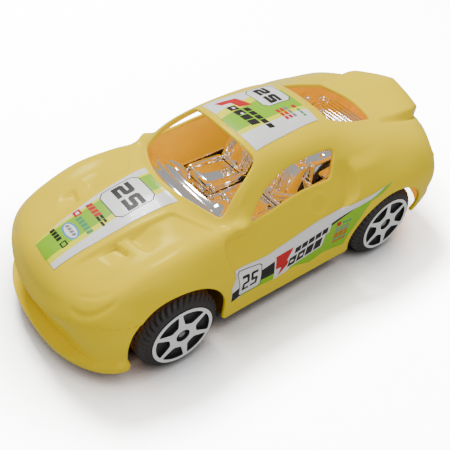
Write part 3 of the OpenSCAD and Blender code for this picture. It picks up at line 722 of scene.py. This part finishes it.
def digit_two(w, h, t):
    """A block numeral; mirrored left to right it is a five."""
    m, c = h / 2, t * 0.45
    return [(0, h), (w - c, h), (w, h - c), (w, m - t / 2 + c), (w - c, m - t / 2), (t, m - t / 2), (t, t),
            (w, t), (w, 0), (0, 0), (0, m + t / 2 - c), (c, m + t / 2), (w - t, m + t / 2), (w - t, h - t),
            (0, h - t)]


def number(origin, lay, w, h, t, gap):
    two = digit_two(w, h, t)
    five = [(2 * w + gap - a, b) for a, b in two][::-1]
    return [(laid(digit, origin, lay), "dark") for digit in (two, five)]


def bars(origin, lay, widths, h, gap, slant, ink):
    """A row of slanted blocks, standing in for a line of print."""
    out, at = [], 0
    for w in widths:
        if w:
            points = [(at, 0), (at + w, 0), (at + w + slant, h), (at + slant, h)]
            out.append((laid(points, origin, lay), ink))
        at += w + gap
    return out


def plate(a0, a1, b0, b1, c):
    """A number plate: a thin dark outline round a paper field."""
    t = PLATE_LINE
    return [(chamfered(a0, a1, b0, b1, c), "dark"),
            (chamfered(a0 + t, a1 - t, b0 + t, b1 - t, c - 0.1), "paper")]


def oval(a, b, ra, rb, n=40):
    turn = np.arange(n) * 2 * math.pi / n
    return np.stack([a + ra * np.cos(turn), b + rb * np.sin(turn)], 1)


def hood_print():
    lay = ((0, 1), (-1, 0))
    out = [(boxed(66, 27, -6, 3.7), "yellow"), (boxed(66, 27, -5.1, 1.9), "lime")]
    out += plate(31.6, 44.5, -6.9, 4.9, 1.5)
    out += number((40.7, -6.0), lay, 4.7, 5.8, 1.5, 0.9)
    out += bars((48.6, -6.3), lay, (1.3, 1.3, 1.3, 1.2), 1.9, 0.25, 0.4, "red")
    out += bars((47.5, -0.2), lay, (1.6, 1.5), 0.75, 0.2, 0.2, "dark")
    out += bars((48.6, -0.4), lay, (2.1, 1.9), 0.75, 0.2, 0.2, "dark")
    out += [(boxed(50.4, 52.6, -6.6, -4.4), "red"), (boxed(51.0, 51.9, -6.0, -5.0), "paper")]
    out += bars((53.0, -4.0), lay, (1.2,) * 5, 1.8, 0.3, 0.2, "green")
    out += [(oval(55.8, -1.4, 1.9, 3.5), "blue"), (oval(55.8, -1.4, 1.45, 3.0), "paper")]
    out += bars((56.2, -4.2), lay, (1.0,) * 4, 1.0, 0.3, 0.5, "grey")
    out += bars((60.2, -5.8), lay, (1.1,) * 4, 1.5, 0.2, 0.0, "dark")
    return out + [(boxed(58.3, 60.2, 0.2, 2.2), "dark"), (boxed(58.7, 59.8, 0.6, 1.8), "lime")]


def roof_print():
    lay = ((-0.1, 0.995), (-0.995, -0.1))
    out = [([(6, -5.7), (6, 6.3), (-22.5, 5.6), (-22.5, -9.2)], "yellow"),
           ([(6, -2.7), (6, 4.5), (-22.5, 4.0), (-22.5, -6.5)], "lime")]
    out += plate(-20.6, -9.8, -11.4, 0.1, 1.5)
    out += number((-12.6, -10.3), ((0, 1), (-1, 0)), 4.3, 4.6, 1.35, 0.8)
    out.append(([(1.6, -10.8), (-5.6, -9.6), (-7.4, -3.6), (-3.4, -4.6), (-2.6, -8), (0.4, -8.4)], "red"))
    out += bars((-3.4, -3.4), lay, (2.1,) * 5, 1.9, 0.3, 0.5, "dark")
    out += bars((0.4, -6.6), lay, (2.6,) * 4, 2.9, 0.35, 0.7, "dark")
    out += bars((-1.0, -5.6), lay, (1.0, 0, 1.0), 0.8, 1.4, 0.1, "paper")
    for k, ink in enumerate(("red", "red", "grey")):
        out += bars((-11.2 - 1.5 * k, 2.4), lay, (1.7, 1.7, 1.5), 1.1, 0.2, 0.1, ink)
    out.append((boxed(-18.6, -17.2, 2.6, 4.2), "red"))
    return out + bars((-17.6, 4.8), lay, (1.2, 1.2, 1.0), 1.0, 0.2, 0.1, "green")


LEVEL = ((-1, 0), (0, 1))


def side_print(reading):
    """Print of a side sticker in x and z. reading is the direction along x in which its numerals run."""
    up = (-0.12, 1)
    lay = ((-1, 0.17), up)
    out = [([(20, 14.9), (12.6, 17.1), (-0.5, 18), (-8, 21), (-12.5, 25.4), (-21, 27.6), (-28.1, 29.4),
             (-31.7, 30.8), (-39, 33), (-30, 8), (20, 8)], "lime"),
           ([(-11, 24.6), (-11.5, 25.8), (-17, 27.2), (-24.5, 28.6), (-17, 26.4)], "dark"),
           ([(24, 18.2), (20.9, 19.2), (6.5, 22.9), (6.5, 16.9), (12.6, 17.1), (20.3, 14.9),
             (24, 13.6)], "dark"),
           (chamfered(12.4, 20.9, 15.1, 24.4, 0.8), "dark"),
           (chamfered(12.7, 20.6, 15.4, 24.1, 0.7), "paper")]
    start = 19.9 if reading < 0 else 13.9
    out += number((start, 17.1), ((reading, 0.03), up), 2.55, 5.2, 0.9, 0.55)
    out += [([(8, 24.6), (-0.2, 25.2), (0.0, 22), (-0.8, 19), (2.4, 13), (7, 13.6)], "paper"),
            ([(7.4, 23.9), (0.7, 24.4), (2.9, 20.1), (0.9, 19.8), (5.6, 14.4), (4.8, 18.3),
              (7.0, 18.5)], "red")]
    out.append((laid([(-0.4, -0.4), (13.8, -0.4), (14, 2.7), (-0.2, 2.7)], (0.2, 21.3), lay), "paper"))
    out += bars((0.1, 21.4), lay, (2.3,) * 5, 2.1, 0.35, 0, "dark")
    out.append((laid([(-0.4, -0.4), (13.8, -0.4), (14, 4.4), (-0.2, 4.4)], (2.3, 16.3), lay), "paper"))
    out += bars((2.2, 16.5), lay, (2.9,) * 4, 3.8, 0.45, 0, "dark")
    out += bars((1.4, 18.0), lay, (1.3, 0, 1.3), 1.0, 1.2, 0, "paper")
    out.append((boxed(-18.1, -16.4, 24.1, 25.7), "red"))
    out += bars((-18.8, 24.3), LEVEL, (1.0,) * 3, 0.9, 0.25, 0, "green")
    for k, ink in enumerate(("grey", "grey", "red", "red", "grey", "red")):
        out += bars((-16.2, 22.7 - 1.15 * k), LEVEL, (1.8, 1.8, 1.5), 0.75, 0.2, 0, ink)
    return out


HOOD_STICKER = both_halves([(28.4, 0), (27.6, 8.7), (46, 7.4), (64.6, 5.6), (65, 0)])
ROOF_STICKER = both_halves([(5, 0), (4.2, 13), (-21.2, 11.1), (-21.4, 0)])
SIDE_STICKER = [
    (23.2, 14.2), (23.5, 20.4), (22.6, 23.4), (20.9, 25.1), (12.8, 25.8), (1.8, 27.4), (-9.8, 29.2),
    (-21, 29.9), (-31.3, 31.3), (-38.6, 32.3), (-32.5, 29.8), (-29.9, 29), (-27.4, 26), (-25.3, 21.5),
    (-23.4, 17.2), (-22.4, 12.8), (-13, 14.3), (-8, 12.7), (-1, 15.2), (6, 13.9), (12.5, 14.6),
    (18.2, 14.7)]


def stickers():
    top = (PLAIN[..., 2] > 20) & (PLAIN_NORMAL[..., 2] > 0.3)
    sticker("hood_print", HOOD_STICKER, hood_print(), [0, 1], top, False, "hood_sticker")
    sticker("roof_print", ROOF_STICKER, roof_print(), [0, 1], top, False, "roof_sticker")
    for name, side in SIDES.items():
        flank = (PLAIN[..., 1] * side > 20) & (PLAIN_NORMAL[..., 1] * side > 0.3) & (PLAIN[..., 2] < 40)
        sticker(f"side_print_{name}", SIDE_STICKER, side_print(-side), [0, 2], flank, side > 0,
                f"side_sticker_{name}")


# ---- wheels
# A wheel is drawn with a to the front, out away from the car, and b up, all from the middle of its face.
SPOKES, SPOKE_TURN = 6, -6.0
DISC_R, POCKET_IN, POCKET_OUT, CENTRE_R = 10.0, 4.5, 9.0, 2.3
POCKET_DEPTH, CENTRE_DEPTH, AXLE_R = 1.1, 0.9, 0.98


def polar(r, degrees):
    return r * math.cos(math.radians(degrees)), r * math.sin(math.radians(degrees))


def wheel_pocket(middle):
    """The outline between two spokes, with a wide rounded outer end and a narrow inner end."""
    outer = 180 / SPOKES - math.degrees(math.asin(0.55 / POCKET_OUT))
    inner = 180 / SPOKES - math.degrees(math.asin(1.0 / POCKET_IN))
    corners = [[*polar(POCKET_OUT, middle + outer * k / 4), 0.75 if abs(k) == 4 else 9] for k in range(-4, 5)]
    corners += [[*polar(POCKET_IN, middle + inner * k), 0.8] for k in (1, -1)]
    return rounded(corners, 7)


def shrunk(outline, d):
    """The closed outline moved inward by d; it runs anticlockwise."""
    along = np.roll(outline, -1, 0) - np.roll(outline, 1, 0)
    return outline + d * unit(np.stack([-along[:, 1], along[:, 0]], 1))


def raised(outline, out):
    return np.stack([outline[:, 0], np.full(len(outline), out), outline[:, 1]], 1)


def lathe(profile, count=96):
    """Quads of a profile of (radius, out) turned about the axle."""
    return strips([raised(oval(0, 0, r, r, count), out) for r, out in profile])


def hub_shape():
    """A wheel hub: black plastic, and a silver disc with pockets sunk between its spokes."""
    shape = Shape()
    pockets = [wheel_pocket(SPOKE_TURN + 360 / SPOKES * k) for k in range(SPOKES)]
    rim, centre = (oval(0, 0, r, r, 96) for r in (DISC_R - 0.12, CENTRE_R))
    flat, faces = sheet_faces([rim, centre] + pockets, 3.0)
    shape.add(raised(flat, 0), [f for f, held in faces if held == [0]], 1)
    for outline, depth in [(p, POCKET_DEPTH) for p in pockets] + [(centre, CENTRE_DEPTH)]:
        edge = ((0, 0), (0.07, 0.05), (0.1, 0.16), (0.22, depth))
        points, quads = strips([raised(shrunk(outline, d), -o) for d, o in edge])
        shape.add(points, quads[: len(outline)], 1)
        shape.add(points, quads[len(outline):])
        if outline is not centre:
            shape.add(raised(shrunk(outline, 0.22), -depth), [tuple(range(len(outline)))])
    shape.add(*lathe([(CENTRE_R - 0.22, -CENTRE_DEPTH), (AXLE_R, -CENTRE_DEPTH)]))
    shape.add(*lathe([(DISC_R, -0.16), (DISC_R - 0.03, -0.04), (DISC_R - 0.12, 0)]), 1)
    shape.add(*lathe([(AXLE_R, -CENTRE_DEPTH), (AXLE_R, -7.5), (4, -7.5), (4, -3.8), (7.4, -3.8),
                      (7.4, -7.5), (8.8, -7.5), (8.8, -1.8), (DISC_R, -1.8), (DISC_R, -0.16)]))
    return shape


TREADS, TREAD_POINTS, TREAD_DEPTH = 40, 8, 0.6
GROOVE_R, GROOVE_OUT = 12.7, -4.45


def tyre_shape():
    """A soft tyre: smooth beside the disc, with blocks over the shoulder and the tread."""
    profile = [(8.8, -8), (8.8, -1.8), (10.02, -1.8), (10.02, -0.5), (10.12, -0.36), (10.3, -0.3),
               (10.6, -0.36), (10.9, -0.5), (11.1, -0.62), (11.3, -0.72), (11.7, -0.98), (12.1, -1.28),
               (12.5, -1.66), (12.8, -2.0), (13.02, -2.35), (13.15, -2.75), (13.2, -3.2), (13.2, -4.1),
               (13.2, -4.4), (GROOVE_R, -4.5), (GROOVE_R, -4.9), (13.2, -5.0), (13.2, -5.4), (13.2, -6.6),
               (13.15, -7.0), (12.9, -7.5), (12.4, -7.9), (11.8, -8.0), (8.8, -8)]
    share = np.arange(TREADS * TREAD_POINTS) / TREAD_POINTS
    angle = share * 2 * math.pi / TREADS
    loops = []
    for r, out in profile:
        shoulder = out > GROOVE_OUT
        lean = share + (0.35 * out if shoulder else 0.5 - 0.35 * out)
        gap = np.abs(lean % 1 - 0.5) * 2
        cut = TREAD_DEPTH * ease(gap, 0.6, 0.85) * (0 if r == GROOVE_R else ease(r, 11.2, 12.0))
        radius = r - cut * (0.5 if shoulder and r < 13 else 1)
        depth = out - cut * (0.8 if shoulder and r < 13 else 0)
        loops.append(np.stack([radius * np.cos(angle), depth, radius * np.sin(angle)], 1))
    shape = Shape()
    shape.add(*strips(loops))
    return shape


def at_wheel(shape, x, side):
    """The shape moved from the wheel's own drawing to its place on the car."""
    placed = Shape()
    points = np.concatenate(shape.points) * (1, side, 1) + (x, side * WHEEL_Y, AXLE_Z)
    placed.add(points, [f[::-1] for f in shape.faces] if side > 0 else shape.faces, shape.inks)
    return placed


def wheels():
    hub, tyre = hub_shape(), tyre_shape()
    for end, x in WHEEL_X.items():
        for name, side in SIDES.items():
            for drawn, piece, materials, part in ((hub, "wheel", [BLACK, STAMP], "hub"),
                                                  (tyre, "soft_tyre", [RUBBER], "tyre")):
                obj = at_wheel(drawn, x, side).mesh(f"{piece}_{end}_{name}", materials)
                sharpen(obj, 32)
                hand_over(obj, f"{end}_wheelset", f"{part}_{end}_{name}")


# ---- cabin
def block(shape, size, at, r, tilt=0.0, turn=0.0, ink=0):
    """Adds a box with rounded edges, tilted back about Y and then turned about Z, in degrees."""
    half = np.array(size) / 2
    r = min(r, *half)
    edge = np.linspace(0, r, 4)
    stops = [np.r_[edge - h, (h - edge)[::-1]] for h in half]
    turned = Matrix.Rotation(math.radians(turn), 3, "Z") @ Matrix.Rotation(math.radians(tilt), 3, "Y")
    for axis in range(3):
        u, v = (axis + 1) % 3, (axis + 2) % 3
        for end in (-1, 1):
            wall = np.empty((len(stops[u]), len(stops[v]), 3))
            wall[..., axis], wall[..., u], wall[..., v] = end * half[axis], stops[u][:, None], stops[v]
            points, faces = strips(wall, closed=False)
            core = np.clip(points, r - half, half - r)
            points = (core + r * unit(points - core)) @ np.array(turned).T + at
            faces = [(a, d, c, b) if end > 0 else (b, c, d, a) for a, b, c, d in faces]
            shape.add(points, faces, ink)


def tube(shape, path, r, count=12):
    """Adds a round bar along a path of points."""
    path = np.array(path, float)
    along = unit(np.gradient(path, axis=0))
    side = unit(np.cross(along, [0.0, 0.3, 1.0]))
    up = np.cross(side, along)
    a, b = oval(0, 0, r, r, count).T
    points, faces = strips([p + np.outer(a, s) + np.outer(b, u) for p, s, u in zip(path, side, up)])
    shape.add(points, faces + [tuple(range(count))[::-1], tuple(range(len(points) - count, len(points)))])


def dome(shape, at, size, count=32, rings=10):
    """Adds the upper half of an ellipsoid, almost closed at its top."""
    rise = np.radians(88 * np.arange(rings + 1) / rings)
    rows = [np.insert(oval(0, 0, c, c, count), 2, h, 1) for c, h in zip(np.cos(rise), np.sin(rise))]
    shape.add(*strips([row * size + at for row in rows]))


def dashboard(shape):
    """Ridges that follow the foot of the windscreen, over a rounded face."""
    profile = [(2.8, 35.2), (2.2, 36.2), (1.5, 36.6), (0.8, 36.3), (0.3, 35.6), (-0.2, 35.7), (-0.8, 36.2),
               (-1.5, 36.5), (-2.2, 36.2), (-2.7, 35.5), (-3.2, 35.5), (-3.8, 35.9), (-4.6, 36.0),
               (-5.3, 35.5), (-5.8, 34.4), (-6.1, 31.5), (-6.6, 27.5), (-7.2, 25.8), (-7.8, 20.6)]
    across = np.linspace(-20.6, 20.6, 60)
    loops = [np.stack([22.9 - 0.0085 * across**2 + dx, across, z - 0.006 * across**2], 1)
             for dx, z in profile]
    points, faces = strips(loops, closed=False)
    shape.add(points, [f[::-1] for f in faces])


SEAT_TILT, SEAT_LEAN, PANEL_TURN = -5, -24, 42


def seat(shape, side):
    """A bucket seat: a soft cushion between bolsters, and a back with a flat panel turned outward."""
    y = side * 9.5
    block(shape, (15, 12.5, 5.5), (0, y, 22.6), 2.4, SEAT_TILT)
    for edge in (-1, 1):
        block(shape, (14, 2.8, 4.4), (0, y + edge * 5.9, 24.0), 1.4, SEAT_TILT)
    block(shape, (4.6, 13.6, 17), (-11.5, y, 31.0), 2.0, SEAT_LEAN)
    block(shape, (2.0, 6.6, 12.5), (-9.4, y - side * 1.6, 31.6), 0.9, SEAT_LEAN)
    block(shape, (1.6, 5.6, 11), (-11.0, side * 13.6, 33.6), 0.5, SEAT_LEAN, side * PANEL_TURN, 1)
    block(shape, (2.6, 7.2, 2.0), (-8.4, side * 14.0, 28.6), 0.9, SEAT_LEAN, side * PANEL_TURN)
    block(shape, (4.0, 9.5, 4.6), (-15.2, y, 40.2), 1.8, SEAT_LEAN)


def framed_panel(shape, side):
    """The side wall behind a seat, with a raised frame."""
    block(shape, (9.4, 1.0, 10), (-21.6, side * 15.8, 33), 0.4)
    for x, z, wide, high in ((-21.6, 38.2, 10.4, 1.3), (-21.6, 28.0, 10.4, 1.3), (-26.4, 33, 1.3, 10.6),
                             (-16.9, 33, 1.3, 10.6)):
        block(shape, (wide, 2.2, high), (x, side * 16.1, z), 0.6)


def wheel_rim(shape, at, tilt, r, thick):
    """The steering wheel's rim with three spokes and its column."""
    turned = np.array(Matrix.Rotation(math.radians(tilt), 3, "Y")).T
    circle = np.array([(*polar(r, 9 * k), 0) for k in range(41)])
    tube(shape, circle @ turned + at, thick)
    for a in (90, 210, 330):
        end = np.array([*polar(r, a), 0])
        tube(shape, np.outer((0, 0.5, 0.98), end) @ turned + at, thick * 0.8)
    tube(shape, np.array([[0, 0, 0.6], [0, 0, -4], [0, 0, -9]]) @ turned + at, thick * 1.6)


def engine_deck(shape):
    """The plated deck under the rear window: a finned cover, caps, blocks and pipes."""
    block(shape, (33, 36, 1.2), (-38.5, 0, 31.6), 0.4)
    block(shape, (11, 25, 2.6), (-47.5, 0, 33.2), 0.8)
    for k in range(7):
        block(shape, (0.8, 23, 1.1), (-52 + 1.5 * k, 0, 34.7), 0.35)
    block(shape, (9, 12, 4), (-36, 0, 33.8), 1.4)
    dome(shape, (-36, 0, 35.6), (3.4, 3.4, 2.2))
    for side in (-1, 1):
        block(shape, (6, 7, 3.6), (-44, side * 16.4, 33.4), 1.4)
        dome(shape, (-44.4, side * 16.2, 35), (2.0, 2.0, 1.8))
        dome(shape, (-49.2, side * 13, 34.8), (1.5, 1.5, 1.9))
        block(shape, (3.6, 3.0, 2.4), (-54, side * 6, 33.8), 0.7)
        block(shape, (14, 3.4, 3), (-33, side * 11.5, 33.4), 1.2)
        pipe = [(-32, side * 5, 34), (-36, side * 7, 36.2), (-41, side * 8, 36.2), (-45, side * 8, 34)]
        tube(shape, pipe, 0.7)


def cabin():
    """The plated moulding: floor, walls, dash, seats, steering wheel, rear deck, and its screw posts."""
    shape = Shape()
    block(shape, (37, 43, 1.2), (3.5, 0, 19.6), 0.4)
    for k in range(4):
        for y in (9.5, -9.5):
            block(shape, (0.8, 12, 0.8), (9.5 + 2 * k, y, 20.4), 0.3)
    block(shape, (24, 4, 4.6), (6, 0, 22.2), 1.0)
    dome(shape, (9, 0, 24), (1.2, 1.2, 2.2))
    block(shape, (1.2, 43, 13.2), (-15.4, 0, 26), 0.4)
    for y in (-20.4, 20.4):
        block(shape, (30, 1.2, 4), (3, y, 21.5), 0.4)
    block(shape, (6, 30, 1.2), (-19, 0, 32.2), 0.4)
    dashboard(shape)
    dome(shape, (15.6, 12.6, 30.6), (5.6, 5.2, 5.0))
    dome(shape, (14.6, -12, 30.6), (3.2, 6.0, 2.2))
    for side in (-1, 1):
        seat(shape, side)
        framed_panel(shape, side)
    wheel_rim(shape, np.array([9.6, 9.5, 31.0]), -62, 3.8, 0.5)
    engine_deck(shape)
    for x in (15, -5):
        for y in (-18, 18):
            block(shape, (4, 4, 12), (x, y, 13.9), 1.9)
    obj = shape.mesh("cabin_moulding", [CHROME, PLATED_FLAT])
    sharpen(obj, 35)
    hand_over(obj, "car", "interior_tray")


# ---- shell and the parts left as they are
POSTS = ((57.5, 15), (-61, 14))
POST_PROFILE = [(1.15, 16), (1.15, 7.7), (2.8, 7.7), (2.8, 30)]
HOOD_EDGE_Z = 25.5


def shell():
    """The moulded shell and the posts that its screws go into."""
    shape = shell_mesh()
    for x, y in POSTS:
        post, faces = lathe(POST_PROFILE, 32)
        post = np.stack([post[:, 0] + x, post[:, 2] + y, post[:, 1]], 1)
        top = post[:, 2] == POST_PROFILE[-1][1]
        roof = sample(PLAIN, locate(post[top, :2], [0, 1], PLAIN[..., 2] > 20))
        post[top, 2] = roof[:, 2] - 0.7 * WALL
        shape.add(post, [f[::-1] for f in faces], 1)
        shape.add(post * FLIP_Y, faces, 1)
    # The second material is the inside one, with its painted glow.
    obj = shape.mesh("moulded_shell", [YELLOW, YELLOW_IN_PAINTED_GLOW])
    sharpen(obj, 26, HOOD_EDGE_Z)
    hand_over(obj, "car", "body_shell")


CAD_FINISH = {
    "chassis": BLACK, "front_axle": STEEL, "rear_axle": STEEL, "motor_case": GREY, "motor_cover": GREY,
    "axle_pinion": NYLON, "idler_gear": NYLON, "drum_gear": NYLON, "mainspring": SPRING,
    "body_screws": STEEL, "motor_screws": STEEL}


def cad_parts():
    for node, material in CAD_FINISH.items():
        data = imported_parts[node].data
        data.materials.clear()
        data.materials.append(material)


# ---- stage
FLOOR_ALBEDO, FLOOR_GAIN = 0.45, 20.0
# Reach and power of the painted shadow that darkens the floor colour near the car.
SHADE_REACH, SHADE_POWER = 0.03, 3.0
FLOOR_HALF, FLOOR_CELLS = 1.5, 24


def floor_paint():
    """Plain paint for the light that bounces off the floor. The camera sees it brighter, and darker close to
    the car by a painted shadow from an occlusion node."""
    paint = finish("floor_pale", (FLOOR_ALBEDO,) * 3, 0.7, grain=200, vary=0.005)
    nodes, link = paint.node_tree.nodes, paint.node_tree.links.new
    bounced = nodes["Principled BSDF"]
    colour = bounced.inputs["Base Color"].links[0].from_socket
    seen = nodes.new("ShaderNodeLightPath")
    bright = nodes.new("ShaderNodeBsdfDiffuse")
    gain = nodes.new("ShaderNodeVectorMath")
    gain.operation = "SCALE"
    either = nodes.new("ShaderNodeMixShader")
    # Painted shadow: the occlusion factor, raised to a power, darkens the colour the camera sees near the
    # car.
    near = fill(nodes.new("ShaderNodeAmbientOcclusion"), Distance=SHADE_REACH)
    shade, dim = nodes.new("ShaderNodeMath"), nodes.new("ShaderNodeMath")
    for node, operation, amount in ((shade, "POWER", SHADE_POWER), (dim, "MULTIPLY", FLOOR_GAIN)):
        node.operation = operation
        node.inputs[1].default_value = amount
    link(near.outputs["AO"], shade.inputs[0])
    link(shade.outputs["Value"], dim.inputs[0])
    link(dim.outputs["Value"], gain.inputs["Scale"])
    link(colour, gain.inputs[0])
    link(gain.outputs["Vector"], bright.inputs["Color"])
    link(seen.outputs["Is Camera Ray"], either.inputs["Fac"])
    link(bounced.outputs["BSDF"], either.inputs[1])
    link(bright.outputs["BSDF"], either.inputs[2])
    link(either.outputs["Shader"], nodes["Material Output"].inputs["Surface"])
    return paint


def stage():
    """The floor, wide and flat."""
    line = np.linspace(-FLOOR_HALF, FLOOR_HALF, FLOOR_CELLS + 1) / MM
    ground = Shape()
    rows = [np.stack([np.full(len(line), x), line, np.zeros(len(line))], 1) for x in line]
    points, faces = strips(rows, closed=False)
    ground.add(points, [f[::-1] for f in faces])
    ground.mesh("floor", [floor_paint()])


LAMP_AIM = (0, 0, 0.015)
WORLD_LIGHT = 0.42


def lamp(name, at, size, watts):
    """A square area lamp aimed at the car."""
    data = bpy.data.lights.new(name, "AREA")
    data.size = size
    data.energy = watts
    obj = bpy.data.objects.new(name, data)
    obj.location = at
    obj.rotation_euler = (Vector(LAMP_AIM) - Vector(at)).to_track_quat("-Z", "Y").to_euler()
    bpy.context.scene.collection.objects.link(obj)


def lights():
    world = bpy.data.worlds.new("studio")
    bpy.context.scene.world = world
    world.use_nodes = True
    fill(world.node_tree.nodes["Background"], Color=(1, 1, 1, 1), Strength=WORLD_LIGHT)
    lamp("key", (-0.05, -0.3, 0.55), 0.15, 4.2)
    lamp("side", (0.1, 0.55, 0.4), 0.2, 1.1)


# ---- camera
LENS = 53.73
CAMERA_AT = (0.1080, 0.1234, 0.1645)
IMAGE_RIGHT, IMAGE_DOWN = Vector((-0.7967, 0.6007, 0.0665)), Vector((0.3778, 0.5808, -0.7211))


def camera():
    data = bpy.data.cameras.new("camera")
    data.lens = LENS
    data.clip_start = 0.01
    data.clip_end = 10
    obj = bpy.data.objects.new("camera", data)
    bpy.context.scene.collection.objects.link(obj)
    turn = Matrix((IMAGE_RIGHT, -IMAGE_DOWN, IMAGE_RIGHT.cross(-IMAGE_DOWN))).transposed()
    obj.matrix_world = Matrix.Translation(CAMERA_AT) @ turn.to_4x4()
    bpy.context.scene.camera = obj


shell()
stickers()
wheels()
cabin()
cad_parts()
stage()
lights()
camera()
